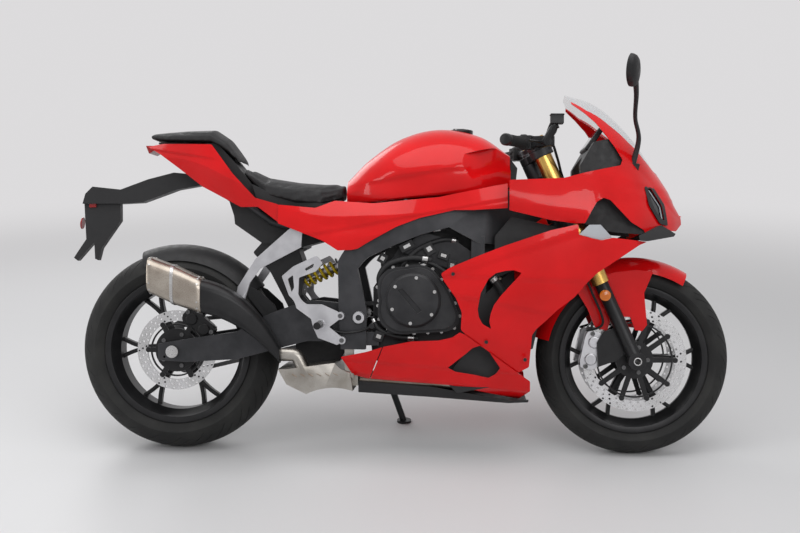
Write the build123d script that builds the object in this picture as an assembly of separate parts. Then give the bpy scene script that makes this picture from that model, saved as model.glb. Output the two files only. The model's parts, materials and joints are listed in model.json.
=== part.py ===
from build123d import *
import math
import os

os.makedirs("parts", exist_ok=True)

# Sizes are millimetres and degrees. X runs forward, Y to the rider's left and Z up, from the ground
# under the rear axle with the machine upright. At the end it is leaned over on its side stand.
full_turn = 360
wheelbase = 1430
lean = 11
rake = 25
fork_offset = 32

# The side view is drawn on a square grid, this many steps to the wheelbase.
wheelbase_shares = 143
step = wheelbase / wheelbase_shares

rim_seat_radius = 215.9
front_tyre_height = 84
front_tyre_radius = rim_seat_radius + front_tyre_height
front_tyre_width = 120
front_crown_radius = 62
front_rim_width = 89
front_hub_radius = 32
rear_tyre_height = 99
rear_tyre_radius = rim_seat_radius + rear_tyre_height
rear_tyre_width = 180
rear_crown_radius = 100
rear_rim_width = 140
rear_hub_radius = 52
rim_flange = 14
rim_lip = 5
rim_wall = 6
rim_drop = 17
rim_bead = 20
tyre_wall = 12
bead_gap = 0.3
spoke_count = 6
spoke_depth = 30
spoke_stem = 20
spoke_leg = 12
spoke_fork_radius = 129
spoke_spread = 17

axle_radius = 12.5
axle_bore_radius = 9
running_gap = 0.05
seat_gap = 0.3
disc_thickness = 5
front_disc_radius = 160
front_disc_offset = 68
rear_disc_radius = 125
rear_disc_offset = 78
disc_band = 34
disc_centre_radius = 50
disc_windows = 6
disc_window_turn = 42
disc_gap = 1.5
sprocket_radius = 84
sprocket_offset = 101.6
sprocket_thickness = 7

fork_spacing = 214
stanchion_radius = 21.5
upper_tube_radius = 27
upper_tube_start = 262
fork_top = 752
lower_clamp_at = 462
lower_clamp_height = 28
upper_clamp_at = 690
upper_clamp_height = 24
clamp_wall = 9
stem_radius = 15
head_wall = 14
head_gap = 1
bar_radius = 11
grip_radius = 16.5
grip_length = 125
bar_clamp_height = 28
bar_end = (1012, 340, 955)
move_gap = 5

panel_wall = 4
cut_overrun = 400

stand_foot = (705, 255)
stand_pivot = (622, 172, 292)
stand_radius = 11
stand_pad_radius = 24
stand_pad_height = 8


def step_point(x, z, y=0):
    return Vector(x * step, y, z * step)


def bulged_edge(start, end, bulge, normal):
    """A line, or an arc that bulges to the right of its run by a share of its chord."""
    if bulge == 0:
        return Line(start, end)
    middle = (start + end) / 2 + (end - start).cross(normal) * bulge
    return ThreePointArc(start, middle, end)


def bulged_edges(points, bulges, normal):
    """Edges round a closed outline."""
    ends = points[1:] + points[:1]
    return [bulged_edge(start, end, bulge, normal) for start, end, bulge in zip(points, ends, bulges)]


def side_face(shares, y=0):
    """Rows of x, z and the bulge of the edge that follows, in grid steps, seen from the right."""
    points = [step_point(x, z, y) for x, z, bulge in shares]
    bulges = [bulge for x, z, bulge in shares]
    return Face(Wire(bulged_edges(points, bulges, Vector(0, -1, 0))))


def side_prism(shares, low, high):
    return Solid.extrude(side_face(shares, low), Vector(0, high - low, 0))


def wheel_prism(axle, radius, shares, low, high):
    """Rows of x, z and bulge from an axle, in shares of a radius."""
    points = [axle + Vector(x * radius, low, z * radius) for x, z, bulge in shares]
    bulges = [bulge for x, z, bulge in shares]
    face = Face(Wire(bulged_edges(points, bulges, Vector(0, -1, 0))))
    return Solid.extrude(face, Vector(0, high - low, 0))


def inset_points(points, wall):
    """The inner line of a panel's section; the inside lies to the left of the way the rows run."""
    inner = []
    for number, point in enumerate(points):
        before = points[max(number - 1, 0)]
        after = points[min(number + 1, len(points) - 1)]
        along = (after - before).normalized()
        inner.append(point + Vector(0, -along.Z, along.Y) * wall)
    return inner


def section_points(x, shares):
    return [Vector(x * step, y * step, z * step) for y, z, bulge in shares]


def open_edges(points, bulges):
    axis = Vector(1, 0, 0)
    return [bulged_edge(start, end, bulge, axis) for start, end, bulge in zip(points, points[1:], bulges)]


def band_wire(x, shares, wall):
    """A thin band across the machine, from rows of y, z and bulge in grid steps."""
    outer = section_points(x, shares)
    inner = inset_points(outer, wall)
    bulges = [bulge for y, z, bulge in shares]
    back = [-bulge for bulge in bulges[-2::-1]]
    edges = open_edges(outer, bulges) + [Line(outer[-1], inner[-1])]
    edges += open_edges(inner[::-1], back) + [Line(inner[0], outer[0])]
    return Wire(edges)


def core_wire(x, shares, inset):
    """The space inside a panel's section, closed on the middle plane where the rows end beside it."""
    points = inset_points(section_points(x, shares), inset)
    edges = open_edges(points, [bulge for y, z, bulge in shares])
    first, last = points[0], points[-1]
    if first.Y * last.Y > 0:
        top = Vector(first.X, 0, first.Z)
        bottom = Vector(last.X, 0, last.Z)
        edges += [Line(last, bottom), Line(bottom, top), Line(top, first)]
    else:
        edges += [Line(last, first)]
    return Wire(edges)


def thin_loft(sections, wall):
    return Solid.make_loft([band_wire(x, rows, wall) for x, rows in sections], ruled=True)


def core(sections, inset):
    return Solid.make_loft([core_wire(x, rows, inset) for x, rows in sections], ruled=True)


def mirrored(solid):
    return solid.mirror(Plane.XZ)


def both_sides(solid):
    return [solid, mirrored(solid)]


def rod(start, end, radius):
    run = Vector(end) - Vector(start)
    return Solid.make_cylinder(radius, run.length, Plane(origin=start, z_dir=run))


def cross_rod(x, z, low, high, radius):
    return rod(Vector(x, low, z), Vector(x, high, z), radius)


def bent_rod(points, radius, bend):
    path = FilletPolyline(*points, radius=bend)
    return sweep(Plane(origin=path @ 0, z_dir=path % 0) * Circle(radius), path=path).solid()


# Where the wheels and the steering stand in the upright machine. A leaned tyre touches the ground
# on its crown, so each axle is a little higher than the tyre's radius.
lean_stretch = 1 / math.cos(math.radians(lean))
rear_axle_height = rear_tyre_radius - rear_crown_radius + rear_crown_radius * lean_stretch
front_axle_height = front_tyre_radius - front_crown_radius + front_crown_radius * lean_stretch
rear_axle = Vector(0, 0, rear_axle_height)
front_axle = Vector(wheelbase, 0, front_axle_height)
steer_up = Vector(-math.sin(math.radians(rake)), 0, math.cos(math.radians(rake)))
steer_ahead = Vector(math.cos(math.radians(rake)), 0, math.sin(math.radians(rake)))
steer_foot = front_axle - steer_ahead * fork_offset


def fork_point(along, side=0):
    return front_axle + steer_up * along + Vector(0, side * fork_spacing / 2, 0)


def steer_plane(along):
    return Plane(origin=steer_foot + steer_up * along, x_dir=steer_ahead, z_dir=steer_up)


# Wheels

def wheel_profile(rows):
    """Revolve rows of radius and place along the axle, with the bulge of the edge that follows."""
    points = [Vector(radius, place, 0) for radius, place, bulge in rows]
    bulges = [bulge for radius, place, bulge in rows]
    face = Face(Wire(bulged_edges(points, bulges, Vector(0, 0, 1))))
    return Solid.revolve(face, full_turn, Axis.Y)


def make_tyre(radius, width, crown, rim_width):
    bead = rim_width / 2 - bead_gap
    toe = bead - rim_bead
    seat = rim_seat_radius + bead_gap
    shoulder = width / 2 - bead_gap
    shoulder_radius = radius - crown + math.sqrt(crown ** 2 - shoulder ** 2)
    clear = rim_seat_radius + rim_flange + bead_gap
    crown_bulge = (radius - shoulder_radius) / (2 * shoulder)
    inside = shoulder - tyre_wall
    inside_radius = shoulder_radius - tyre_wall / 2
    inside_bulge = (radius - tyre_wall - inside_radius) / (2 * inside)
    wall_bulge = (shoulder - bead) / (4 * (shoulder_radius - clear))
    return wheel_profile([
        (seat, toe, 0), (seat, bead, 0), (clear, bead, -wall_bulge),
        (shoulder_radius, shoulder, -crown_bulge), (shoulder_radius, -shoulder, -wall_bulge),
        (clear, -bead, 0), (seat, -bead, 0), (seat, -toe, 0),
        (inside_radius, -inside, inside_bulge), (inside_radius, inside, 0),
    ])


def make_rim(rim_width, hub_radius, hub_half):
    half = rim_width / 2
    lip = half + rim_lip
    seat = rim_seat_radius
    top = seat + rim_flange
    well = seat - rim_drop
    ledge = half - rim_bead
    dip = ledge - rim_drop
    barrel = wheel_profile([
        (top, lip, 0), (top, half, 0), (seat, half, 0), (seat, ledge, 0), (well, dip, 0),
        (well, -dip, 0), (seat, -ledge, 0), (seat, -half, 0), (top, -half, 0), (top, -lip, 0),
        (seat - rim_wall, -lip, 0), (seat - rim_wall, -ledge, 0), (well - rim_wall, -dip, 0),
        (well - rim_wall, dip, 0), (seat - rim_wall, ledge, 0), (seat - rim_wall, lip, 0),
    ])
    reach = well - rim_wall / 2
    spread = reach * math.sin(math.radians(spoke_spread / 2))
    stem = [(0, -spoke_stem / 2), (spoke_fork_radius, -spoke_stem / 2),
            (spoke_fork_radius, spoke_stem / 2), (0, spoke_stem / 2)]
    leg = [(spoke_fork_radius - spoke_stem / 2, 0), (spoke_fork_radius, -spoke_stem / 2),
           (reach, -spread - spoke_leg / 2), (reach, -spread + spoke_leg / 2)]
    spoke = None
    for outline in (stem, leg, [(along, -across) for along, across in leg]):
        points = [Vector(along, -spoke_depth / 2, across) for along, across in outline]
        piece = Solid.extrude(Face(Wire.make_polygon(points)), Vector(0, spoke_depth, 0))
        spoke = piece if spoke is None else spoke + piece
    wheel = barrel + cross_rod(0, 0, -hub_half, hub_half, hub_radius)
    for number in range(spoke_count):
        wheel = wheel + spoke.rotate(Axis.Y, number * full_turn / spoke_count)
    return wheel - cross_rod(0, 0, -cut_overrun, cut_overrun, axle_radius + running_gap)


def make_disc(radius, offset):
    inner = radius - disc_band
    bore = axle_radius + running_gap + rim_wall
    low = offset - disc_thickness / 2
    disc = cross_rod(0, 0, low, low + disc_thickness, radius)
    window_low = disc_centre_radius + rim_wall
    window = Solid.make_cylinder(inner, disc_thickness, Plane(origin=(0, low, 0), z_dir=(0, 1, 0)),
                                 disc_window_turn)
    window = window - cross_rod(0, 0, low, low + disc_thickness, window_low)
    for number in range(disc_windows):
        disc = disc - window.rotate(Axis.Y, number * full_turn / disc_windows)
    return disc - cross_rod(0, 0, low, low + disc_thickness, bore)


front_disc_inner = front_disc_offset - disc_thickness / 2
rear_disc_inner = rear_disc_offset - disc_thickness / 2
sprocket_inner = sprocket_offset - sprocket_thickness / 2
front_rim = make_rim(front_rim_width, front_hub_radius, front_disc_inner - seat_gap)
rear_hub_half = rear_disc_inner - seat_gap
rear_rim = make_rim(rear_rim_width, rear_hub_radius, rear_hub_half)
front_tyre = make_tyre(front_tyre_radius, front_tyre_width, front_crown_radius, front_rim_width)
rear_tyre = make_tyre(rear_tyre_radius, rear_tyre_width, rear_crown_radius, rear_rim_width)
front_disc = make_disc(front_disc_radius, front_disc_offset)
rear_disc = mirrored(make_disc(rear_disc_radius, rear_disc_offset))
sprocket = cross_rod(0, 0, rear_hub_half + seat_gap, sprocket_offset, rear_hub_radius)
sprocket = sprocket + cross_rod(0, 0, sprocket_inner, sprocket_inner + sprocket_thickness, sprocket_radius)
sprocket = sprocket - cross_rod(0, 0, 0, cut_overrun, axle_radius + running_gap)

# Fork, bars and front fender, on the steering
stanchion_foot = 28
caliper_half = 17
caliper_face = front_disc_offset + caliper_half
caliper_bracket = 12
caliper_bracket_shares = [
    (141.5, 34, 0), (139.5, 41, 0), (133, 39, 0), (131, 35.5, 0), (131.5, 28, 0), (137, 30, 0),
]
lug_width = 44
lug_radius = 27
spacer_radius = 17
spacer_start = front_disc_offset + disc_thickness / 2 + seat_gap
lug_inner = (fork_spacing - lug_width) / 2
lug_outer = (fork_spacing + lug_width) / 2
axle_overhang = 6


def make_fork_leg(side):
    lug = cross_rod(front_axle.X, front_axle.Z, side * lug_inner, side * lug_outer, lug_radius)
    boot = rod(fork_point(0, side), fork_point(2 * stanchion_foot, side), lug_width / 2)
    leg = rod(fork_point(0, side), fork_point(upper_tube_start - seat_gap, side), stanchion_radius)
    low, high = sorted((side * (caliper_face + seat_gap), side * (caliper_face + caliper_bracket)))
    bracket = side_prism(caliper_bracket_shares, low, high)
    bore = cross_rod(front_axle.X, front_axle.Z, -cut_overrun, cut_overrun, axle_radius + running_gap)
    return lug + boot + leg + bracket - bore


def make_clamp(along, height, bore_stem):
    plane = steer_plane(along)
    tube = fork_spacing / 2
    outer = upper_tube_radius + clamp_wall
    centre = stem_radius + head_wall
    with BuildSketch(plane) as sketch:
        with Locations((0, 0)):
            Circle(centre)
        with Locations((fork_offset, tube), (fork_offset, -tube)):
            Circle(outer)
        with BuildLine():
            Polyline((-centre / 2, 0), (fork_offset - outer / 2, -tube), (fork_offset + outer / 2, -tube),
                     (fork_offset, 0), (fork_offset + outer / 2, tube), (fork_offset - outer / 2, tube),
                     close=True)
        make_face()
        with Locations((fork_offset, tube), (fork_offset, -tube)):
            Circle(upper_tube_radius + running_gap, mode=Mode.SUBTRACT)
        if bore_stem:
            Circle(stem_radius + running_gap, mode=Mode.SUBTRACT)
    return extrude(sketch.sketch, amount=height).solid()


fork_legs = [make_fork_leg(side) for side in (-1, 1)]
fork_tubes = [rod(fork_point(upper_tube_start, side), fork_point(fork_top, side), upper_tube_radius)
              for side in (-1, 1)]
front_axle_solid = cross_rod(front_axle.X, front_axle.Z, -lug_outer - axle_overhang,
                             lug_outer + axle_overhang, axle_radius)
for side in (-1, 1):
    front_axle_solid = front_axle_solid + cross_rod(
        front_axle.X, front_axle.Z, side * spacer_start, side * (lug_inner - seat_gap), spacer_radius)
front_axle_solid = front_axle_solid - cross_rod(
    front_axle.X, front_axle.Z, -cut_overrun, cut_overrun, axle_bore_radius)
stem_top = upper_clamp_at + upper_clamp_height + clamp_wall
lower_clamp = make_clamp(lower_clamp_at, lower_clamp_height, False)
stem_plane = steer_plane(lower_clamp_at)
lower_clamp = lower_clamp + Solid.make_cylinder(stem_radius, stem_top - lower_clamp_at, stem_plane)
stem_bore = Solid.make_cylinder(stem_radius - rim_wall, stem_top, stem_plane)
lower_clamp = lower_clamp - stem_bore
triple_clamps = [lower_clamp, make_clamp(upper_clamp_at, upper_clamp_height, True)]

bar_clamp_at = upper_clamp_at + upper_clamp_height + seat_gap
lever_reach = 62
lever_radius = 6
lever_length = 150
switch_length = 34
reservoir_radius = 19
reservoir_height = 30
reservoir_foot = (1166, -250, 1009)
bar_weight_radius = 18
bar_weight_length = 26
switch_radius = grip_radius + clamp_wall


def make_bar(side):
    start = fork_point(bar_clamp_at + bar_clamp_height / 2, side)
    end = Vector(bar_end[0], side * bar_end[1], bar_end[2])
    run = (end - start).normalized()
    ring_plane = Plane(origin=fork_point(bar_clamp_at, side), x_dir=steer_ahead, z_dir=steer_up)
    ring = Solid.make_cylinder(upper_tube_radius + clamp_wall, bar_clamp_height, ring_plane)
    bar = ring + rod(start, end, bar_radius)
    grip_end = end - run * bar_weight_length / 2
    bar = bar + rod(grip_end - run * grip_length, grip_end, grip_radius)
    bar = bar + rod(end - run * bar_weight_length / 2, end + run * bar_weight_length / 2, bar_weight_radius)
    switch = grip_end - run * (grip_length + seat_gap)
    bar = bar + rod(switch - run * switch_length, switch, switch_radius)
    ahead = Vector(0, 0, 1).cross(run).normalized() * side
    perch = switch - run * switch_length / 2 + ahead * lever_reach / 2
    bar = bar + rod(switch - run * switch_length / 2, perch, bar_radius)
    knee = perch + ahead * lever_reach / 2 + run * lever_reach / 2
    bar = bar + rod(perch, knee, lever_radius)
    bar = bar + rod(knee, knee + run * (lever_length - lever_reach / 2), lever_radius)
    if side < 0:
        cup = Vector(*reservoir_foot)
        bar = bar + rod(perch, cup + Vector(0, 0, lever_radius), lever_radius)
        bar = bar + rod(cup, cup + Vector(0, 0, reservoir_height), reservoir_radius)
    hole = Solid.make_cylinder(upper_tube_radius + running_gap, cut_overrun,
                               Plane(origin=fork_point(bar_clamp_at - clamp_wall, side), z_dir=steer_up))
    return bar - hole


handlebars = [make_bar(side) for side in (-1, 1)]

# The fender wraps the front tyre; its angles are counted from straight ahead, upward.
fender_clear = 14
fender_half = 78
fender_skirt = 46
fender_from = 58
fender_to = 168
fender_stay_radius = 9
fender_stay_share = 0.535


def shoulder_band(centre, radius, half, skirt, wall, start, end):
    """A domed band round a tyre: a crown and two skirts, as one closed section turned about the axle."""
    edge = radius - skirt
    points = [Vector(edge, -half, 0), Vector(radius, 0, 0), Vector(edge, half, 0),
              Vector(edge, half - wall, 0), Vector(radius - wall, 0, 0), Vector(edge, wall - half, 0)]
    edges = [ThreePointArc(points[0], points[1], points[2]), Line(points[2], points[3]),
             ThreePointArc(points[3], points[4], points[5]), Line(points[5], points[0])]
    face = Face(Wire(edges)).rotate(Axis.Y, -start)
    return Solid.revolve(face, -(end - start), Axis.Y).moved(Location(centre))


fender_radius = front_tyre_radius + fender_clear + panel_wall
front_fender = shoulder_band(front_axle, fender_radius, fender_half, fender_skirt, panel_wall,
                             fender_from, fender_to)
# Rows of x, z and bulge from the axle, in shares of the fender's radius
fender_leg_shares = [
    (-0.571, 0.666, 0), (-0.364, 0.799, 0), (-0.206, 0.853, 0), (0.000, 0.878, 0),
    (0.167, 0.862, 0), (0.132, 0.774, 0), (0.082, 0.654, 0), (0.113, 0.343, 0),
    (0.066, 0.283, 0), (-0.003, 0.292, 0), (-0.050, 0.421, 0), (-0.255, 0.421, 0),
    (-0.245, 0.368, 0), (-0.274, 0.280, 0), (-0.390, 0.318, 0), (-0.469, 0.503, 0),
]
fender_leg_inner = fender_half - panel_wall / 2
fender_legs = wheel_prism(front_axle, fender_radius, fender_leg_shares,
                          -fender_leg_inner - panel_wall, -fender_leg_inner)
stay = fork_point(fender_stay_share * fender_radius)
stay_end = fork_spacing / 2 - stanchion_radius - seat_gap
fender_legs = fender_legs + cross_rod(stay.X, stay.Z, -stay_end, -fender_leg_inner, fender_stay_radius)
front_fender = front_fender + fender_legs + mirrored(fender_legs)

caliper_radius = 128
caliper_angle = 168
caliper_length = 120
caliper_depth = 60


def make_caliper(centre, radius, offset, angle, disc_radius):
    turn = math.radians(angle)
    middle = Vector(radius * math.cos(turn), offset, radius * math.sin(turn))
    plane = Plane(origin=middle, x_dir=(math.cos(turn), 0, math.sin(turn)), z_dir=(0, 1, 0))
    body = extrude(plane * Rectangle(caliper_depth, caliper_length), amount=caliper_half, both=True)
    slot = cross_rod(0, 0, offset - disc_thickness / 2 - disc_gap, offset + disc_thickness / 2 + disc_gap,
                     disc_radius + disc_gap)
    return (body - slot).solid().moved(Location(centre))


front_caliper = make_caliper(front_axle, caliper_radius + caliper_half / 2, front_disc_offset,
                             caliper_angle, front_disc_radius)

# Frame, swingarm, subframe and shock
spar_side_shares = [
    (52.6, 33.3, 0), (60.1, 33.3, 0), (60.4, 45, 0), (57.5, 57.8, -0.04), (61, 61.5, 0), (69, 65.2, 0),
    (76.6, 68.3, 0), (85.1, 70.6, 0), (93.8, 66, 0), (101, 65.5, 0), (110, 71, 0), (119, 77, 0),
    (114, 87, 0), (100, 80.5, 0), (85, 76.5, 0), (70, 72.5, 0), (58, 68, 0.06), (51.5, 60, 0),
    (51.8, 47, 0),
]
spar_plan_shares = [
    (50, -17.8), (62, -17.8), (85, -19.2), (98, -15.5), (112, -5.5), (119, -3), (119, 0), (112, -1.5),
    (97, -12), (85, -15.6), (62, -14.4), (50, -14.2),
]
plate_inner = 142
pivot_shares = (58, 43)
pivot_radius = 11
pivot_boss = 19
pivot_reach = 184
rail_shares = [(57, 65), (30, 72), (8, 88)]
cross_radius = 14
shock_top_shares = (53.8, 60)
shock_shaft = 7
engine_lug_shares = [(59, 34.4, 0), (64, 34.4, 0), (64, 38.4, 0), (59, 38.4, 0)]
head_lug_shares = [(92, 60.5, 0), (96, 60, 0), (96, 68, 0), (92, 68, 0)]
engine_half = 120
block_half = 148
lug_wall = 16
tank_pad_shares = [(72, 73, 79.08, 15.9), (92, 77.5, 80.63, 15.2)]
tank_pad_radius = 7
stay_radius = 14
stay_at = 545
fairing_boss_shares = (94.9, 61.2)
fairing_boss_reach = 225
fairing_boss_radius = 7
rail_spread_shares = 7.5
rail_radius = 12
rail_bend = 48


cockpit_back_share = 125
stay_height_share = 82


def plan_prism(shares, low, high):
    points = [Vector(x * step, y * step, low) for x, y in shares]
    return Solid.extrude(Face(Wire.make_polygon(points)), Vector(0, 0, high - low))


frame_top = wheelbase
spar = side_prism(spar_side_shares, -cut_overrun, 0) & plan_prism(spar_plan_shares, 0, frame_top)
spar = spar.solid()
head_low = lower_clamp_at + lower_clamp_height + head_gap
head_height = upper_clamp_at - head_gap - head_low
head_outer = Solid.make_cylinder(stem_radius + head_wall, head_height, steer_plane(head_low))
head_bore = Solid.make_cylinder(stem_radius + running_gap, head_height, steer_plane(head_low))
pivot = step_point(*pivot_shares)
stand_foot_point = Vector(stand_foot[0], stand_foot[1], stand_foot[1] * math.tan(math.radians(lean)))
stand_pivot_point = Vector(*stand_pivot)
stand_run = stand_foot_point - stand_pivot_point
stand_tilt = math.atan2(stand_run.Y, -stand_run.Z)
stand_axis = Vector(0, math.cos(stand_tilt), math.sin(stand_tilt))
stand_eye = 20
stand_eye_half = 12
stand_cheek = 8
stand_pin = axle_radius / 2
stand_lug_rise = 62
stand_lug_depth = 36
stand_lug_back = -27
stand_lug_front = 18
lug_outline = [(-stand_eye, 0), (stand_lug_back, stand_lug_rise), (stand_lug_front, stand_lug_rise),
               (stand_eye, 0)]
stand_lug = side_prism(engine_lug_shares, plate_inner, plate_inner + stand_lug_depth)
for offset in (stand_eye_half + seat_gap, -stand_eye_half - seat_gap - stand_cheek):
    cheek_plane = Plane(origin=stand_pivot_point + stand_axis * offset, x_dir=(1, 0, 0), z_dir=stand_axis)
    corners = [cheek_plane.from_local_coords((across, -rise)) for across, rise in lug_outline]
    cheek = Solid.extrude(Face(Wire.make_polygon(corners)), stand_axis * stand_cheek)
    stand_lug = stand_lug + cheek + Solid.make_cylinder(stand_eye, stand_cheek, cheek_plane)
pin_reach = stand_axis * (stand_eye_half + seat_gap + stand_cheek)
stand_lug = stand_lug + rod(stand_pivot_point - pin_reach, stand_pivot_point + pin_reach, stand_pin)
side_iron = spar + side_prism(engine_lug_shares, -plate_inner - lug_wall, -engine_half - seat_gap)
side_iron = side_iron + side_prism(head_lug_shares, -block_half - lug_wall, -block_half - seat_gap)
for x, low, high, across in tank_pad_shares:
    foot = Vector(x * step, -across * step, low * step)
    top = Vector(x * step, -across * step, high * step - seat_gap)
    side_iron = side_iron + rod(foot, top, tank_pad_radius)
fairing_boss = step_point(*fairing_boss_shares)
side_iron = side_iron + cross_rod(fairing_boss.X, fairing_boss.Z, -fairing_boss_reach,
                                  -block_half - seat_gap, fairing_boss_radius)
main_frame = side_iron + mirrored(side_iron) + head_outer + stand_lug
shock_top = step_point(*shock_top_shares)
main_frame = main_frame + cross_rod(shock_top.X, shock_top.Z, -plate_inner - clamp_wall,
                                    plate_inner + clamp_wall, shock_shaft)
rail_start = step_point(*rail_shares[0])
rail_run = (step_point(*rail_shares[1]) - rail_start).normalized()
cross_tube = rail_start - rail_run * (cross_radius + seat_gap)
main_frame = main_frame + cross_rod(cross_tube.X, cross_tube.Z, -plate_inner - clamp_wall,
                                    plate_inner + clamp_wall, cross_radius)
stay_end = step_point(cockpit_back_share, stay_height_share)
stay_start = steer_foot + steer_up * stay_at
stay_start = Vector(stay_start.X, 0, stay_end.Z)
main_frame = main_frame + rod(stay_start, stay_end - Vector(seat_gap, 0, 0), stay_radius)
main_frame = main_frame - head_bore
main_frame = main_frame - cross_rod(pivot.X, pivot.Z, -cut_overrun, cut_overrun, pivot_radius + running_gap)

rail_spread = rail_spread_shares * step
rails = []
for side in (-1, 1):
    rail_points = [step_point(x, z, side * rail_spread) for x, z in rail_shares]
    rails.append(bent_rod(rail_points, rail_radius, rail_bend))

arm_side_shares = [
    (61.3, 43, -0.2), (58, 46.6, 0), (44, 48, 0.05), (20, 38, 0), (4, 35.5, 0), (-4.5, 34, 0),
    (-4.5, 29, 0), (4, 28.5, 0), (20, 29.5, 0), (44, 36, 0), (58, 39.4, -0.2),
]
arm_outer = 138
arm_inner = 112
arm_bridge_shares = (38.5, 47, 35.4, 42.2)
shock_ear_shares = [(39, 38, 0), (45, 38, 0), (45, 42, 0), (36, 53, -0.5), (33, 50.5, 0)]
shock_low_shares = (34.3, 51.4)
shock_ear_inner = 17
shock_ear_outer = 25
arm = side_prism(arm_side_shares, -arm_outer, -arm_inner)
swingarm = arm + mirrored(arm)
bridge_back, bridge_front, bridge_low, bridge_high = arm_bridge_shares
bridge_outline = [(bridge_back, bridge_low, 0), (bridge_front, bridge_low, 0),
                  (bridge_front, bridge_high, 0), (bridge_back, bridge_high, 0)]
swingarm = swingarm + side_prism(bridge_outline, -arm_outer, arm_outer)
swingarm = swingarm + cross_rod(pivot.X, pivot.Z, -arm_outer, arm_outer, pivot_boss)
shock_low = step_point(*shock_low_shares)
for low, high in ((shock_ear_inner, shock_ear_outer), (-shock_ear_outer, -shock_ear_inner)):
    swingarm = swingarm + side_prism(shock_ear_shares, low, high)
swingarm = swingarm + cross_rod(shock_low.X, shock_low.Z, -shock_ear_outer, shock_ear_outer, shock_shaft)
swingarm = swingarm - cross_rod(pivot.X, pivot.Z, -cut_overrun, cut_overrun, pivot_radius + running_gap)
swingarm = swingarm - cross_rod(0, rear_axle.Z, -cut_overrun, cut_overrun, axle_radius + running_gap)
spool_shares = (-2.5, 30)
spool_radius = 4
spool_depth = 20
spool = step_point(*spool_shares)
for side in (-1, 1):
    swingarm = swingarm - cross_rod(spool.X, spool.Z, side * (arm_outer - spool_depth), side * arm_outer,
                                    spool_radius)

axle_nut_radius = 19
axle_nut_length = 10
axle_end = arm_outer + axle_nut_length
rear_axle_solid = cross_rod(0, rear_axle.Z, -axle_end, axle_end, axle_radius)
disc_outer = rear_disc_offset + disc_thickness / 2
sprocket_outer = sprocket_offset + sprocket_thickness / 2
for side, start in ((-1, disc_outer), (1, sprocket_outer)):
    rear_axle_solid = rear_axle_solid + cross_rod(
        0, rear_axle.Z, side * (start + seat_gap), side * (arm_inner - seat_gap), spacer_radius)
    rear_axle_solid = rear_axle_solid + cross_rod(
        0, rear_axle.Z, side * (arm_outer + seat_gap), side * axle_end, axle_nut_radius)
pivot_shaft = cross_rod(pivot.X, pivot.Z, -pivot_reach, pivot_reach, pivot_radius)

rear_caliper_radius = 100
rear_caliper_angle = 50
rear_caliper = make_caliper(rear_axle, rear_caliper_radius, -rear_disc_offset, rear_caliper_angle,
                            rear_disc_radius)
caliper_boss_shares = (9.8, 35)
caliper_boss_radius = 8
caliper_boss = step_point(*caliper_boss_shares)
rear_caliper = rear_caliper + cross_rod(caliper_boss.X, caliper_boss.Z, -arm_inner + seat_gap,
                                        -rear_disc_offset - caliper_half / 2, caliper_boss_radius)

shock_eye_radius = 14
shock_body_radius = 15
shock_rod_radius = 7
shock_seat_radius = 27
spring_radius = 25
spring_wire = 4.5
spring_turns = 6
shock_run = shock_top - shock_low
shock_length = shock_run.length
spring_share = 0.2
spring_low = spring_share * shock_length
spring_high = shock_length - spring_low
shock_plane = Plane(origin=shock_low, x_dir=(0, 1, 0), z_dir=shock_run)
shock_rows = [
    # radius, height up to which it holds
    (shock_rod_radius, spring_low - spring_wire),
    (shock_seat_radius, spring_low),
    (shock_rod_radius, (spring_low + spring_high) / 2),
    (shock_body_radius, spring_high),
    (shock_seat_radius, spring_high + spring_wire),
    (shock_body_radius, shock_length),
]
shock_outline = [Vector(0, 0, 0)]
reached = 0
for radius, height in shock_rows:
    shock_outline += [Vector(radius, 0, reached), Vector(radius, 0, height)]
    reached = height
shock_outline.append(Vector(0, 0, reached))
shock = Solid.revolve(Face(Wire.make_polygon(shock_outline)), full_turn, Axis.Z).moved(shock_plane.location)
for eye in (shock_low, shock_top):
    shock = shock + cross_rod(eye.X, eye.Z, -shock_body_radius, shock_body_radius, shock_eye_radius)
    shock = shock - cross_rod(eye.X, eye.Z, -cut_overrun, cut_overrun, shock_shaft + running_gap)
coil_height = spring_high - spring_low - 2 * (spring_wire + seat_gap)
coil_path = Wire(Edge.make_helix(coil_height / spring_turns, coil_height, spring_radius - spring_wire))
coil_section = Plane(origin=coil_path @ 0, z_dir=coil_path % 0) * Circle(spring_wire)
coil = sweep(coil_section, path=coil_path, is_frenet=True).solid()
coil_place = Location((0, 0, spring_low + spring_wire + seat_gap))
shock_spring = coil.moved(shock_plane.location * coil_place)

# Engine, radiator and exhaust
case_shares = [
    (62, 33, 0), (62, 52, 0), (70, 64.5, 0), (85, 60, 0), (96, 47, 0), (96, 30, 0), (90, 25, 0),
    (66, 25, 0),
]
block_shares = [(70.5, 63.2, 0), (77, 69.3, 0), (88, 66, 0), (97.5, 59.4, 0), (96, 47.5, 0), (85.5, 58, 0)]
chain_bay_shares = [(58, 36.5, 0), (72.5, 36.5, 0), (72.5, 48.5, 0), (58, 48.5, 0)]
chain_bay_inner = 66
cover_half = 205
engine_case = side_prism(case_shares, -engine_half, engine_half)
engine_block = engine_case + side_prism(block_shares, -block_half, block_half)
engine_block = engine_block - side_prism(chain_bay_shares, chain_bay_inner, cut_overrun)
clutch_shares = [
    (63.5, 48, -0.32), (72, 59, -0.2), (83, 55, -0.05), (88, 46, -0.3), (85, 38.5, 0), (70, 37.5, -0.25),
]
clutch_cover = side_prism(clutch_shares, -cover_half, -engine_half - seat_gap)
alternator_centre_shares = (87, 40)
alternator_radius = 72
alternator_depth = 62
alternator = step_point(*alternator_centre_shares)
alternator_cover = cross_rod(alternator.X, alternator.Z, engine_half + seat_gap,
                             engine_half + alternator_depth, alternator_radius)
front_sprocket_shares = (66.5, 43)
front_sprocket_radius = 38
front_sprocket = step_point(*front_sprocket_shares)
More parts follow.
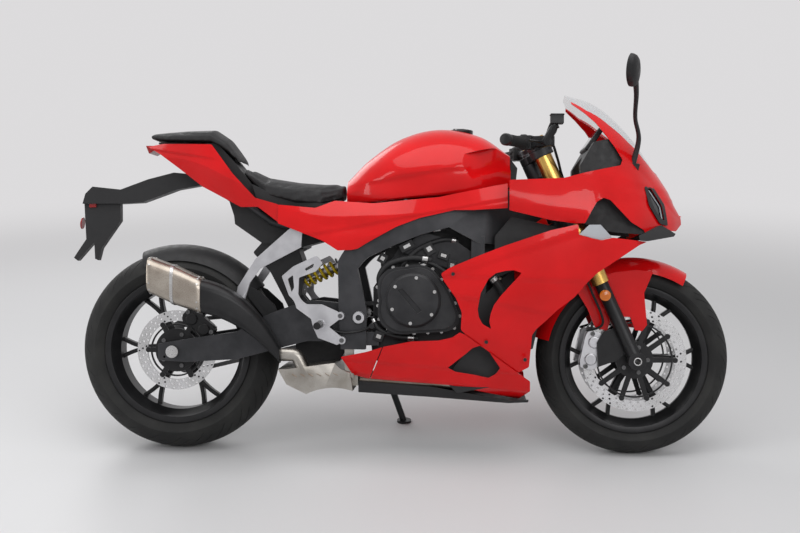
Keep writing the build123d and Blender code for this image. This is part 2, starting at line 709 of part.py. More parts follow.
engine_block = engine_block + cross_rod(front_sprocket.X, front_sprocket.Z, 0, sprocket_offset, stem_radius)
engine_block = engine_block + cross_rod(front_sprocket.X, front_sprocket.Z, sprocket_inner,
                                        sprocket_inner + sprocket_thickness, front_sprocket_radius)

radiator_shares = [(107.5, 34.5), (110.5, 33.8), (116.5, 62.5), (113.5, 63)]
radiator_half = 175
radiator_rows = [(x, z, 0) for x, z in radiator_shares]
radiator = side_prism(radiator_rows, -radiator_half, radiator_half)
radiator_lug_shares = (114.6, 60, 73.5)
radiator_lug_across = 30
lug_x, lug_low, lug_high = radiator_lug_shares
for side in (-1, 1):
    across = side * radiator_lug_across
    radiator = radiator + rod(step_point(lug_x, lug_low, across), step_point(lug_x, lug_high, across),
                              shock_shaft)

header_radius = 18
header_spacing = 72
header_bend = 60
port_radius = 24
header_shares = [
    # x, z, share of the spacing kept, place of the middle pipe across
    (99.8, 54.4, 1, 0), (104.2, 50.8, 1, 0), (102.6, 33, 1, 0), (96, 22, 0.8, -1), (78, 22.2, 0.54, -4),
    (57.9, 23.4, 0.51, -4.7),
]
port_shares = (95, 58.3)
header_pipes = []
cylinder_count = 4
for number in range(cylinder_count):
    place = number - (cylinder_count - 1) / 2
    points = [step_point(x, z, header_spacing * place * kept + middle * step)
              for x, z, kept, middle in header_shares]
    header_pipes.append(bent_rod(points, header_radius, header_bend))
    port_end = points[0] - (points[1] - points[0]).normalized() * seat_gap
    port_start = step_point(*port_shares, points[0].Y)
    engine_block = engine_block + rod(port_start, port_end, port_radius)
box_shares = [
    (36.1, 27.1, 0), (50.8, 29.2, 0.1), (55.4, 26.3, 0), (56.4, 20.7, 0.1), (42.2, 19.6, 0),
    (36.1, 22.5, 0), (33.5, 27.1, 0),
]
box_right = 185
box_left = 60
exhaust_box = side_prism(box_shares, -box_right, box_left)
inlet_shares = (54, 57.57, 24)
inlet_half = 88
inlet_height = 22
inlet_back, inlet_front, inlet_z = inlet_shares
inlet_across = 50
inlet_place = Location(step_point((inlet_back + inlet_front) / 2, inlet_z, -inlet_across))
inlet = Solid.make_box((inlet_front - inlet_back) * step, 2 * inlet_half, 2 * inlet_height)
inlet = inlet.moved(Location((-(inlet_front - inlet_back) * step / 2, -inlet_half, -inlet_height)))
exhaust_box = exhaust_box + inlet.moved(inlet_place)
box_lug_shares = [(53.6, 26, 0), (56.4, 24, 0), (56.4, 33.27, 0), (53.6, 33.27, 0)]
exhaust_box = exhaust_box + side_prism(box_lug_shares, -plate_inner - lug_wall, -plate_inner)
link_radius = 20
link_bend = 22
link_shares = [(34.03, 31.4), (39, 31.4), (41.5, 26)]
link_across_shares = -16.6
link_points = [step_point(x, z, link_across_shares * step) for x, z in link_shares]
exhaust_box = exhaust_box + bent_rod(link_points, link_radius, link_bend)
muffler_shares = [
    # x, z of the middle, half height, middle across, half width
    (-4.6, 55.6, 5.4, -22.2, 5.6),
    (4, 52.2, 5.8, -22.2, 5.8),
    (11.4, 49.3, 5.2, -21.8, 5.4),
]
shield_shares = [
    (11.43, 49.2, 5.0, -21.8, 5.2),
    (20, 46, 4.8, -21, 4.6),
    (28, 39.5, 4.0, -19.2, 3.6),
    (34, 31.4, 2.5, -16.9, 2.5),
]


def rounded_loft(shares, corner):
    """Loft through upright rounded rectangles; rows as in the muffler's table."""
    wires = []
    for x, z, half_height, y, half_width in shares:
        plane = Plane(origin=Vector(x * step, y * step, z * step), x_dir=(0, 1, 0), z_dir=(1, 0, 0))
        with BuildSketch(plane) as sketch:
            RectangleRounded(2 * half_width * step, 2 * half_height * step, corner * half_width * step)
        wires.append(sketch.sketch.face().outer_wire())
    return Solid.make_loft(wires)


corner_share = 0.6
muffler = rounded_loft(muffler_shares, corner_share)
muffler_shield = rounded_loft(shield_shares, corner_share)

# Drive chain: two rows of side plates round both sprockets, joined by rollers on the straight runs
chain_half_height = 7
chain_plate = 2.5
chain_gap = sprocket_thickness / 2 + seat_gap
rear_centre = Vector(0, 0, rear_axle.Z)
chain_reach = sprocket_radius + chain_half_height


def chain_loop(rear_reach, front_reach, low, high):
    line = front_sprocket - rear_centre
    drop = math.asin((rear_reach - front_reach) / line.length)
    tilt = math.atan2(line.Z, line.X)
    points = []
    for side in (1, -1):
        turn = tilt + side * (math.pi / 2 - drop)
        ray = Vector(math.cos(turn), 0, math.sin(turn))
        points.append((rear_centre + ray * rear_reach, front_sprocket + ray * front_reach))
    back = rear_centre - line.normalized() * rear_reach
    front = front_sprocket + line.normalized() * front_reach
    edges = [
        Line(points[0][0], points[0][1]), ThreePointArc(points[0][1], front, points[1][1]),
        Line(points[1][1], points[1][0]), ThreePointArc(points[1][0], back, points[0][0]),
    ]
    face = Face(Wire(edges)).moved(Location((0, low, 0)))
    return Solid.extrude(face, Vector(0, high - low, 0))


chain_low = sprocket_offset - chain_gap - chain_plate
drive_chain = []
for low in (chain_low, sprocket_offset + chain_gap):
    band = chain_loop(chain_reach, front_sprocket_radius + chain_half_height, low, low + chain_plate)
    band = band - chain_loop(sprocket_radius - chain_half_height, front_sprocket_radius - chain_half_height,
                             low, low + chain_plate)
    drive_chain.append(band)

# Tank, seats and body panels
tank_shares = [
    # x, bottom z, bottom half width, widest z, widest half width, top z
    (53.3, 78, 7.5, 81, 8.5, 85.2),
    (60, 78, 12, 84, 13.5, 92.0),
    (70, 79, 16.5, 87.5, 17.5, 98.8),
    (82, 80, 18.5, 89, 19.5, 101.8),
    (95, 81, 16.5, 89, 17.2, 99.4),
    (104, 83, 10.5, 88, 10.5, 93.5),
]
tank_lower_bulge_share = 0.05
tank_upper_bulge_share = 0.17


def tank_wire(row):
    x, low, low_half, wide, wide_half, top = row
    points = [(low_half, low), (wide_half, wide), (0, top), (-wide_half, wide), (-low_half, low)]
    points = [Vector(x * step, y * step, z * step) for y, z in points]
    lower = tank_lower_bulge_share
    upper = tank_upper_bulge_share
    return Wire(bulged_edges(points, [lower, upper, upper, lower, 0], Vector(1, 0, 0)))


# The room that the bars sweep behind the steering's axis; the tank gives way to it.
bar_room_from = 66
bar_room_to = 365
bar_room_turn = 48
bar_room_gap = 15
bar_room_half = switch_radius + bar_room_gap
bar_start_up = bar_clamp_at + bar_clamp_height / 2
bar_end_up = (Vector(*bar_end) - steer_foot).dot(steer_up)
room_rows = [(bar_room_from, bar_start_up - bar_room_half), (bar_room_to, bar_end_up - bar_room_half),
             (bar_room_to, bar_end_up + bar_room_half), (bar_room_from, bar_start_up + bar_room_half)]
room_points = [steer_foot + steer_up * up + Vector(0, out, 0) for out, up in room_rows]
bar_room = Solid.revolve(Face(Wire.make_polygon(room_points)), bar_room_turn, Axis(steer_foot, steer_up))
fuel_tank = Solid.make_loft([tank_wire(row) for row in tank_shares])
fuel_tank = (fuel_tank - bar_room - mirrored(bar_room)).solid()

seat_shares = [
    # x, bottom z, top z, half width
    (20.5, 86.8, 88.6, 8),
    (28, 80, 85.6, 12.5),
    (38, 77.6, 84.0, 14.5),
    (46, 77.2, 84.0, 12.5),
    (52.6, 79.5, 84.6, 7.5),
]
pillion_shares = [
    (-9.5, 97.4, 99.4, 7),
    (2, 97, 100.3, 9.5),
    (11, 96.8, 100.4, 11),
    (15.5, 94, 97.4, 10.5),
    (20, 89.3, 91.2, 8.5),
]
seat_bulge_share = 0.09
seat_edge_share = 0.3333


def seat_wire(row):
    x, low, top, half = row
    edge_drop = (top - low) * seat_edge_share
    points = [(half, low), (half, top - edge_drop), (-half, top - edge_drop), (-half, low)]
    points = [Vector(x * step, y * step, z * step) for y, z in points]
    return Wire(bulged_edges(points, [0, seat_bulge_share, 0, 0], Vector(1, 0, 0)))


rider_seat = Solid.make_loft([seat_wire(row) for row in seat_shares], ruled=True)
pillion_seat = Solid.make_loft([seat_wire(row) for row in pillion_shares], ruled=True)


def panel(x_rows, outline):
    """A thin wall lofted along the machine, cut to its outline in the side view."""
    return (thin_loft(x_rows, panel_wall) & side_prism(outline, -cut_overrun, cut_overrun)).solid()


tail_sections = [
    (-12, [(-5.68, 99, 0), (-5.68, 93, 0), (-4.2, 86, 0)]),
    (4, [(-10, 99, 0), (-9.5, 91, 0), (-7, 84, 0)]),
    (20, [(-12.5, 92, 0), (-13, 84, 0), (-10.5, 74, 0)]),
    (34, [(-15, 84, 0), (-16, 77, 0), (-14.5, 66, 0)]),
]
tail_shares = [
    (-10, 95.6, 0), (-4.7, 96.4, 0), (11.2, 96, 0), (17.9, 87.1, 0), (25.3, 79.4, 0), (32.8, 77.3, 0),
    (32.8, 71.8, 0), (26.2, 76.6, 0), (20.5, 76.6, 0), (7.7, 83.1, 0), (0.3, 88.7, 0),
    (-5.6, 93, 0),
]
cover_sections = [
    (32, [(-14.2, 86, 0), (-15.6, 77, 0.03), (-15.4, 66, 0)]),
    (45, [(-13.0, 80, 0), (-16.5, 74, 0.03), (-18.2, 62, 0)]),
    (60, [(-14.2, 79, 0), (-18.6, 74, 0.03), (-19.8, 62, 0)]),
    (80, [(-19.4, 80, 0), (-20.6, 75, 0.03), (-20.8, 66, 0)]),
    (104, [(-19.5, 84, 0), (-22.5, 78, 0.03), (-23, 68, 0)]),
]
cover_shares = [
    (32.83, 77.2, 0), (44.2, 76.3, 0), (50, 78.6, 0), (62, 77.8, 0), (82, 79.6, 0), (102.6, 83.9, 0),
    (102.6, 76.3, 0), (92, 75.7, 0), (86.8, 75.7, 0), (76.4, 73.3, 0), (69.3, 70.6, 0),
    (60.8, 65.9, 0.05), (55.7, 63.5, 0), (51.5, 63.3, 0), (46.8, 66.2, 0), (32.83, 71.5, 0),
]
flank_sections = [
    (50, [(-19, 80, 0.03), (-20.5, 56, 0.05), (-18.6, 33, 0.05), (-10, 15.5, 0)]),
    (72, [(-21.5, 80, 0.03), (-23.5, 56, 0.05), (-20.5, 33, 0.05), (-11, 15.5, 0)]),
    (92, [(-24, 80, 0.03), (-26, 56, 0.05), (-21, 33, 0.05), (-11, 15.5, 0)]),
    (108, [(-25.5, 80, 0.03), (-27.5, 56, 0.05), (-20.5, 33, 0.05), (-9, 15.5, 0)]),
    (124, [(-25.5, 80, 0.03), (-26.5, 56, 0.05), (-18.5, 33, 0.05), (-6, 15.5, 0)]),
    (138, [(-20, 80, 0.03), (-21, 56, 0.05), (-14, 33, 0.05), (-4, 15.5, 0)]),
    (147, [(-14.5, 80, 0.03), (-15.5, 56, 0.05), (-9, 33, 0.05), (-2, 15.5, 0)]),
]
fairing_shares = [
    (82.9, 56.7, 0), (85.5, 58.5, 0), (93.7, 62, 0), (101.3, 65, 0.02), (114.9, 69.7, 0),
    (122.9, 71.5, 0), (123.1, 68.4, 0), (126.9, 67.5, 0), (129.9, 66.9, 0), (133.6, 67.7, 0),
    (144.6, 66.6, 0), (142.1, 65.6, 0), (136.8, 62.3, 0), (128.9, 57.3, 0), (126.3, 54.9, 0.04),
    (117.3, 46.3, 0.04), (111.2, 40.3, 0), (110.1, 38.6, 0), (109.6, 28.5, 0), (106.4, 26.7, 0),
    (90.4, 38.4, 0), (88.9, 40, 0), (89.1, 45.2, 0), (87.4, 49.3, 0), (83.6, 54.7, 0),
]
vent_shares = [
    (106.5, 57.1, 0), (101.9, 57.7, -0.1), (96.9, 55.3, -0.1), (93.8, 46.2, -0.1), (95.3, 41.8, 0),
    (97.9, 40.3, 0), (97.6, 44.7, 0.08), (100.5, 50.3, 0.08),
]
lower_shares = [
    (60.5, 32.7, 0), (65.7, 34.4, 0), (74.1, 36.2, 0), (82.3, 36.6, 0), (86.4, 37.6, 0),
    (88.6, 39.2, 0), (90.38, 38.376, 0), (110.2, 23.88, 0), (110.4, 20.6, 0), (107.2, 17.6, 0),
    (86.1, 22.5, 0), (60.3, 24.2, 0), (56.2, 25.4, 0), (52.6, 31, 0),
]
duct_shares = [
    (85.1, 28.2, 0), (87.4, 26.9, 0), (93.1, 26, 0), (97.5, 25, 0.1), (100.9, 28.2, 0), (97.4, 33.4, 0),
    (94.6, 35.2, -0.1), (90.8, 32.9, 0),
]
tail_panel = panel(tail_sections, tail_shares)
tail_fairing = both_sides(tail_panel)
side_covers = both_sides(panel(cover_sections, cover_shares))
fairing_skin = panel(flank_sections, fairing_shares) - side_prism(vent_shares, -cut_overrun, cut_overrun)
side_fairings = both_sides(fairing_skin)
boss_run = cross_rod(fairing_boss.X, fairing_boss.Z, -cut_overrun, -fairing_boss_reach, fairing_boss_radius)
boss_run = boss_run & core(flank_sections, panel_wall + seat_gap)
main_frame = main_frame + boss_run + mirrored(boss_run)
lower_skin = panel(flank_sections, lower_shares) - side_prism(duct_shares, -cut_overrun, cut_overrun)
stand_bay_shares = [(50, 10, 0), (67.5, 10, 0), (66.5, 40, 0), (50, 40, 0)]
lower_left = mirrored(lower_skin) - side_prism(stand_bay_shares, 0, cut_overrun)
lower_fairings = [lower_skin, lower_left.solid()]
keel_sections = [
    (57.6, [(-12.7, 23.2, 0), (-12, 19.6, 0), (0, 18.3, 0)]),
    (80, [(-13.8, 21.8, 0), (-12.8, 18.5, 0), (0, 17, 0)]),
    (104, [(-10.6, 17.4, 0), (-9, 16.4, 0), (0, 15.5, 0)]),
    (110.2, [(-9.6, 17.6, 0), (-8, 16.6, 0), (0, 16, 0)]),
]


def keel_wire(x, rows):
    near = [(y, z) for y, z, bulge in rows]
    far = [(-y, z) for y, z in near[:-1]][::-1]
    outer = [Vector(x * step, y * step, z * step) for y, z in near + far]
    inner = [point + Vector(0, 0, panel_wall) for point in outer[::-1]]
    inner[0] = outer[-1] - Vector(0, panel_wall, 0)
    inner[-1] = outer[0] + Vector(0, panel_wall, 0)
    return Wire.make_polygon(outer + inner)


belly_keel = Solid.make_loft([keel_wire(x, rows) for x, rows in keel_sections], ruled=True)

cowl_sections = [
    # x, low half width, low z, middle half width, middle z, top z
    (100, 25.6, 70, 20, 98, 114),
    (112, 26.4, 69.5, 18.4, 100, 115),
    (122, 26.4, 69, 17.5, 100, 113),
    (132, 25, 67.5, 17.3, 93.5, 109.3),
    (142, 20.5, 66.5, 13, 89, 100),
    (150, 13.5, 67.5, 8.5, 81, 88.5),
    (155, 7.5, 69.5, 5, 76, 80.8),
    (158.4, 1.6, 72.3, 1.1, 73.6, 74.8),
]
cowl_low_bulge_share = 0.06
cowl_top_bulge_share = 0.12


def cowl_rows(low_half, low, half, middle, top):
    low_bulge = cowl_low_bulge_share
    top_bulge = cowl_top_bulge_share
    return [(low_half, low, low_bulge), (half, middle, top_bulge), (0, top, top_bulge),
            (-half, middle, low_bulge), (-low_half, low, 0)]


nose_shares = [
    (102.9, 84.6, 0), (119, 85.3, 0), (125.7, 87.1, 0), (136.6, 89.6, 0), (137.4, 91.4, 0),
    (134.9, 95.5, 0), (132.4, 98.9, 0), (129.5, 102.8, 0), (126, 106.2, 0), (122.6, 109, 0),
    (122.2, 118, 0), (140, 118, 0), (149, 100, 0), (160, 80, 0), (160, 70, 0), (149.2, 70.2, 0),
    (144.6, 67.6, 0), (143.5, 70.1, 0), (139.3, 72.4, 0), (135.8, 75.9, 0), (132.8, 78.9, 0),
    (130.7, 79.5, 0), (128.7, 78.3, 0), (126.9, 75.3, 0), (125.2, 71.9, 0), (122.2, 71.8, 0),
    (114.9, 72.8, 0), (102.9, 75.6, 0),
]
# The screen seen from above, as rows of x and half width
screen_half_shares = [
    (121.4, 4.5), (122.6, 7.6), (127, 9.8), (134, 10.3), (140, 9.4), (145, 7.6), (148.5, 5), (150.2, 2),
]
screen_floor_share = 80
lamp_shares = [
    (145.1, 83.1, 0), (146.9, 83.4, 0), (150.6, 78, 0), (151.3, 72.8, 0), (149.5, 73.4, 0), (147, 77.3, 0),
]
lamp_glass_shares = [
    (145.2, 83, 0), (146.85, 83.3, 0), (150.55, 77.95, 0), (151.25, 72.85, 0), (149.55, 73.45, 0),
    (147.05, 77.35, 0),
]
lamp_back = 6


def screen_prism(gap):
    near = [(x, half + gap / step) for x, half in screen_half_shares]
    far = [(x, -half) for x, half in near[::-1]]
    return plan_prism(near + far, screen_floor_share * step, frame_top)


cowl_rows_all = [(x, cowl_rows(*row)) for x, *row in cowl_sections]
cowl_skin = thin_loft(cowl_rows_all, panel_wall)
nose_cut = side_prism(nose_shares, -cut_overrun, cut_overrun)
lamp_room = side_prism(lamp_shares, -cut_overrun, cut_overrun)
nose_fairing = ((cowl_skin & nose_cut) - screen_prism(seat_gap) - lamp_room).solid()
windscreen = (cowl_skin & screen_prism(0)).solid()
lamp_skin = thin_loft(cowl_rows_all, lamp_back)
lamp_cut = side_prism(lamp_glass_shares, -cut_overrun, cut_overrun)
headlamps = (lamp_skin & lamp_cut).solids()
cowl_space = core(cowl_rows_all, panel_wall + seat_gap)
cowl_outside = core(cowl_rows_all, -seat_gap)

# The dark ducts behind the intakes, and the pale panels below them
duct_back_shares = [
    (123.5, 80.5, 0), (134, 81.5, 0), (145.2, 71.5, 0), (145.2, 68.6, 0), (134, 69.5, 0), (123.5, 72.6, 0),
]
duct_half = 176
duct_wall = 6
intake_duct = (side_prism(duct_back_shares, -duct_half, -duct_half + duct_wall) & cowl_space).solid()
intake_ducts = both_sides(intake_duct)
insert_shares = [
    (123.16, 68.46, 0), (126.3, 71.4, 0), (129.8, 71.5, 0), (133.4, 67.79, 0), (129.9, 66.97, 0),
    (126.9, 67.57, 0),
]
fairing_inserts = both_sides(panel(flank_sections, insert_shares))

# The room that the fork swings in; the panel in front of the rider gives way to it.
swing_radius = math.hypot(fork_spacing / 2, fork_offset) + upper_tube_radius + clamp_wall + move_gap
swing_room = Solid.make_cylinder(swing_radius, wheelbase, steer_plane(0))
cockpit_shares = [
    (cockpit_back_share, 78, 0), (cockpit_back_share, 90, 0), (129, 97, 0), (134, 98, 0), (141, 92, 0),
    (143.6, 86, 0), (143.6, 76, 0), (136, 73, 0),
]
cockpit_half = 135
cockpit_panel = (side_prism(cockpit_shares, -cockpit_half, cockpit_half) & cowl_space) - swing_room
cockpit_spigot = 90
cockpit_panel = cockpit_panel.solid() + rod(stay_end, stay_end + Vector(cockpit_spigot, 0, 0), stay_radius)

winglet_shares = [(138.8, 67, 0), (148.3, 71.6, 0), (152.5, 69, 0), (152, 68.2, 0), (144.5, 66.8, 0)]
winglet_inner = 100
winglet_outer = 205
winglet = side_prism(winglet_shares, -winglet_outer, -winglet_inner) - cowl_outside
winglet = winglet.solids().sort_by(Axis.Y)[0]
winglets = both_sides(winglet)

# Rows of x, z and y: the right mirror stands up, and the left one is folded down beside the cowl.
mirror_rows = [
    [(140.5, 88.5, -12), (142.4, 97.5, -14), (140.3, 103.5, -20), (139.2, 109.5, -28), (137.3, 114.8, -36)],
    [(140.5, 88.5, 12), (142.2, 95.5, 14.5), (141, 93.5, 22), (139.8, 87.5, 30), (139.2, 82.5, 36)],
]
mirror_radii = (36, 62)
mirror_stalk_radius = 8
mirror_depth = 26
mirrors = []
for rows in mirror_rows:
    foot, *knees, head = [Vector(x * step, y * step, z * step) for x, z, y in rows]
    neck = knees[-1]
    stalk = rod(foot, knees[0], mirror_stalk_radius)
    for low_end, high_end in zip(knees, knees[1:] + [head]):
        stalk = stalk + Solid.make_sphere(mirror_stalk_radius, Plane(low_end))
        stalk = stalk + rod(low_end, high_end, mirror_stalk_radius)
    up = (head - neck).normalized()
    face_out = Vector(-1, 0, 0)
    across = up.cross(face_out).normalized()
    shell_plane = Plane(origin=head - face_out * mirror_depth / 2, x_dir=across, z_dir=across.cross(up))
    shell = extrude(shell_plane * Ellipse(mirror_radii[0], mirror_radii[1]), amount=mirror_depth)
    mirrors.append((stalk + shell.solid() - cowl_outside).solids().sort_by(Axis.Y)[0 if foot.Y < 0 else -1])

trim_shares = [(104.03, 92.6, 0), (106.4, 89.5, 0), (106, 85.6, 0), (104.03, 85.6, 0)]
trim_half = 52
tank_trim = side_prism(trim_shares, -trim_half, trim_half)

tray_shares = [
    (-8, 94.6, 0), (3, 88, 0), (16, 78.5, 0), (17.5, 74, 0), (17.8, 71.4, 0), (26.7, 65.3, 0),
    (28.9, 65.4, 0), (38, 64, 0), (45, 66, 0), (45, 76.8, 0), (37.5, 77.2, 0), (27.5, 79.4, 0),
    (19.5, 86, 0), (16, 91, 0), (11, 95.4, 0), (2, 95.8, 0),
]
tray_half_low = rail_spread - rail_radius - seat_gap
undertray = side_prism(tray_shares, -tray_half_low, tray_half_low)
bumper_shares = [(2, 94, 97), (38, 75, 77.58)]
bumper_across = 30
bumper_radius = 10
for x, low_z, high_z in bumper_shares:
    for side in (-1, 1):
        bumper_foot = step_point(x, low_z, side * bumper_across)
        bumper_top = step_point(x, high_z, side * bumper_across) - Vector(0, 0, 2 * seat_gap)
        undertray = undertray + rod(bumper_foot, bumper_top, bumper_radius)
lamp_body_shares = [(-11, 96.2, 0), (-8.6, 96.2, 0), (-8.03, 94.63, 0), (-10, 93.4, 0)]
tail_lamp_half = 50
tail_lamp = side_prism(lamp_body_shares, -tail_lamp_half, tail_lamp_half)

arm_shares = [
    (8.2, 84.16, 0), (4, 87.23, 0), (-2.6, 87.8, 0), (-11, 85.6, 0), (-19.8, 82.3, 0), (-28.9, 83.2, 0),
    (-31.2, 80.9, 0), (-32.1, 77.7, 0), (-19.7, 77.8, 0), (-12.9, 78.2, 0), (-1.6, 82.4, 0),
]
plate_shares = [
    (-31.9, 78.5, 0), (-31.2, 66.4, 0), (-35.2, 60.4, 0), (-33.9, 59.4, 0), (-28.6, 65.5, 0),
    (-28.3, 60.1, 0), (-27.2, 59.6, 0), (-26.2, 63.5, 0), (-20.1, 72.3, 0), (-20.2, 78.5, 0),
]
arm_half = 26
plate_half = 14
plate_bracket = side_prism(arm_shares, -arm_half, arm_half)
plate_bracket = plate_bracket + side_prism(plate_shares, -plate_half, plate_half)

hugger_clear = 14
hugger_half = 84
hugger_skirt = 52
hugger_from = 38
hugger_to = 112
hugger_radius = rear_tyre_radius + hugger_clear + panel_wall
rear_hugger = shoulder_band(rear_axle, hugger_radius, hugger_half, hugger_skirt, panel_wall,
                            hugger_from, hugger_to)
# Rows of x, z and bulge from the axle, in shares of the hugger's radius
hugger_foot_shares = [
    (0.8831, 0.2500, 0), (0.9913, 0.2500, 0), (0.9312, 0.4302, 0), (0.7810, 0.5654, 0),
    (0.6248, 0.6345, 0), (0.5888, 0.6045, 0), (0.6428, 0.5474, 0),
]
hugger_bolt_shares = (0.9402, 0.2861)
hugger_bolt = rear_axle + Vector(hugger_bolt_shares[0], 0, hugger_bolt_shares[1]) * hugger_radius
hugger_foot = wheel_prism(rear_axle, hugger_radius, hugger_foot_shares,
                          -hugger_half, -hugger_half + panel_wall)
hugger_foot = hugger_foot + cross_rod(hugger_bolt.X, hugger_bolt.Z, -arm_inner + seat_gap, -hugger_half,
                                      shock_shaft)
rear_hugger = rear_hugger + hugger_foot + mirrored(hugger_foot)

hanger_shares = [
    (34.8, 55.4, 0), (38.3, 58.4, 0), (45.2, 61.7, 0), (47.2, 59.5, 0), (45.2, 57, 0), (40, 55, 0),
    (39.8, 50, 0.1), (42.5, 47, 0), (47, 47, 0), (51.6, 45, 0), (53.6, 43.5, 0), (49.3, 40.2, 0),
    (53.8, 36.6, 0), (51.8, 34.8, 0), (45.9, 36.9, 0), (44.4, 40.2, 0), (43.8, 42.6, 0), (39.3, 45.8, 0.1),
    (37.1, 49.5, 0),
]
hanger_outer = 205
hanger_inner = 195
hanger_boss_shares = [(53.1, 36.2), (52.6, 43.6)]
peg_shares = (46.5, 41)
peg_radius = 11
peg_length = 85
peg = step_point(*peg_shares)
hanger = side_prism(hanger_shares, -hanger_outer, -hanger_inner)
hanger = hanger + cross_rod(peg.X, peg.Z, -hanger_outer - peg_length, -hanger_inner, peg_radius)
boss_seat = 178
for x, z in hanger_boss_shares:
    boss = step_point(x, z)
    hanger = hanger + cross_rod(boss.X, boss.Z, -hanger_outer, -boss_seat - seat_gap, peg_radius)
footrest_hangers = both_sides(hanger)
pillion_side_shares = [
    (36.8, 70.5, 0), (40.2, 70.5, 0), (39.7, 64.2, 0), (27, 57.5, 0), (22.6, 51.2, 0), (20.2, 51.8, 0),
    (25.6, 60.5, 0),
]
muffler_tab_shares = [(24, 53.3, 0), (21.5, 44.5, 0), (18.5, 44.5, 0), (20.3, 52, 0)]
muffler_bolt_shares = (20, 46)
pillion_outer = 138
pillion_inner = 128
pillion_left = mirrored(side_prism(pillion_side_shares, -pillion_outer, -pillion_inner))
rail_bolt_shares = (38.4, 69.8)
rail_bolt = step_point(*rail_bolt_shares)
pillion_left = pillion_left + cross_rod(rail_bolt.X, rail_bolt.Z, rail_spread + rail_radius + seat_gap,
                                        pillion_outer, caliper_boss_radius)
muffler_bolt = step_point(*muffler_bolt_shares)
pillion_right = mirrored(pillion_left) + side_prism(muffler_tab_shares, -pillion_outer, -pillion_inner)
muffler_bolt_reach = 163
pillion_right = pillion_right + cross_rod(muffler_bolt.X, muffler_bolt.Z, -muffler_bolt_reach,
                                          -pillion_inner, shock_shaft)
pillion_pegs = [pillion_right, pillion_left]

# Side stand: a leg from its pivot to a pad that lies on the ground when the machine leans
stand_leg_end = stand_foot_point - stand_run.normalized() * stand_pad_height
side_stand = rod(stand_pivot_point, stand_leg_end, stand_radius)
side_stand = side_stand + rod(stand_pivot_point - stand_axis * stand_eye_half,
                              stand_pivot_point + stand_axis * stand_eye_half, stand_eye)
pad_up = Vector(0, -math.sin(math.radians(lean)), math.cos(math.radians(lean)))
pad_plane = Plane(origin=stand_foot_point, z_dir=pad_up)
side_stand = side_stand + Solid.make_cylinder(stand_pad_radius, stand_pad_height, pad_plane)
side_stand = side_stand - rod(stand_pivot_point - stand_axis * cut_overrun,
                              stand_pivot_point + stand_axis * cut_overrun, stand_pin + running_gap)

# Every node and its solids, in the upright machine
nodes = {
    "main_frame": [main_frame],
    "subframe": rails,
    "swingarm": [swingarm, pivot_shaft],
    "rear_axle": [rear_axle_solid],
    "rear_caliper": [rear_caliper],
    "rear_shock": [shock],
    "shock_spring": [shock_spring],
    "engine_block": [engine_block],
    "engine_covers": [clutch_cover, alternator_cover],
    "radiator": [radiator],
    "header_pipes": header_pipes,
    "exhaust_box": [exhaust_box],
    "muffler": [muffler],
    "muffler_shield": [muffler_shield],
    "drive_chain": drive_chain,
    "fuel_tank": [fuel_tank],
    "tank_trim": [tank_trim],
    "rider_seat": [rider_seat],
    "pillion_seat": [pillion_seat],
    "side_covers": side_covers,
    "tail_fairing": tail_fairing,
    "tail_lamp": [tail_lamp],
    "undertray": [undertray],
    "plate_bracket": [plate_bracket],
    "rear_hugger": [rear_hugger],
    "side_fairings": side_fairings,
    "lower_fairings": lower_fairings,
    "belly_keel": [belly_keel],
    "nose_fairing": [nose_fairing],
    "windscreen": [windscreen],
    "intake_ducts": intake_ducts,
    "fairing_inserts": fairing_inserts,
    "headlamps": headlamps,
    "cockpit_panel": [cockpit_panel],
    "winglets": winglets,
    "mirrors": mirrors,
    "footrest_hangers": footrest_hangers,
    "pillion_pegs": pillion_pegs,
    "triple_clamps": triple_clamps,
    "fork_tubes": fork_tubes,
    "fork_legs": fork_legs,
    "front_axle": [front_axle_solid],
    "handlebars": handlebars,
    "front_fender": [front_fender],
    "front_calipers": [front_caliper, mirrored(front_caliper)],
    "front_rim": [front_rim.moved(Location(front_axle))],
    "front_tyre": [front_tyre.moved(Location(front_axle))],
    "front_discs": [disc.moved(Location(front_axle)) for disc in both_sides(front_disc)],
    "rear_rim": [rear_rim.moved(Location(rear_axle))],
    "rear_tyre": [rear_tyre.moved(Location(rear_axle))],
    "rear_disc": [rear_disc.moved(Location(rear_axle))],
    "rear_sprocket": [sprocket.moved(Location(rear_axle))],
    "side_stand": [side_stand],
}

# Lean the machine to its left, then put the middle of its footprint at the origin
leaned = {}
low = [math.inf, math.inf, math.inf]
high = [-math.inf, -math.inf, -math.inf]
for name, solids in nodes.items():
    leaned[name] = [solid.rotate(Axis.X, -lean) for solid in solids]
    for solid in leaned[name]:
        box = solid.bounding_box()
        low = [min(a, b) for a, b in zip(low, box.min)]
        high = [max(a, b) for a, b in zip(high, box.max)]
shift = Vector(-(low[0] + high[0]) / 2, -(low[1] + high[1]) / 2, -low[2])
for name, solids in leaned.items():
    moved = [solid.moved(Location(shift)) for solid in solids]
    shape = moved[0] if len(moved) == 1 else Compound(children=moved)
    export_step(shape, f"parts/{name}.step")


def placed(point):
    turned = Vector(point).rotate(Axis.X, -lean) + shift
    return [round(value, 4) for value in turned]


def turned(direction):
    return [round(value, 6) for value in Vector(direction).rotate(Axis.X, -lean)]


print("size", [round(b - a, 2) for a, b in zip(low, high)], "low", low, "shift", list(shift))
print("front_axle", placed(front_axle))
print("rear_axle", placed(rear_axle))
print("steer_foot", placed(steer_foot))
print("stand_pivot", placed(stand_pivot_point))
print("across", turned((0, 1, 0)))
print("steer_up", turned(steer_up))
print("stand_axis", turned(stand_axis))
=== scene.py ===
import json
import math

import bmesh
import bpy
from mathutils import Matrix, Vector


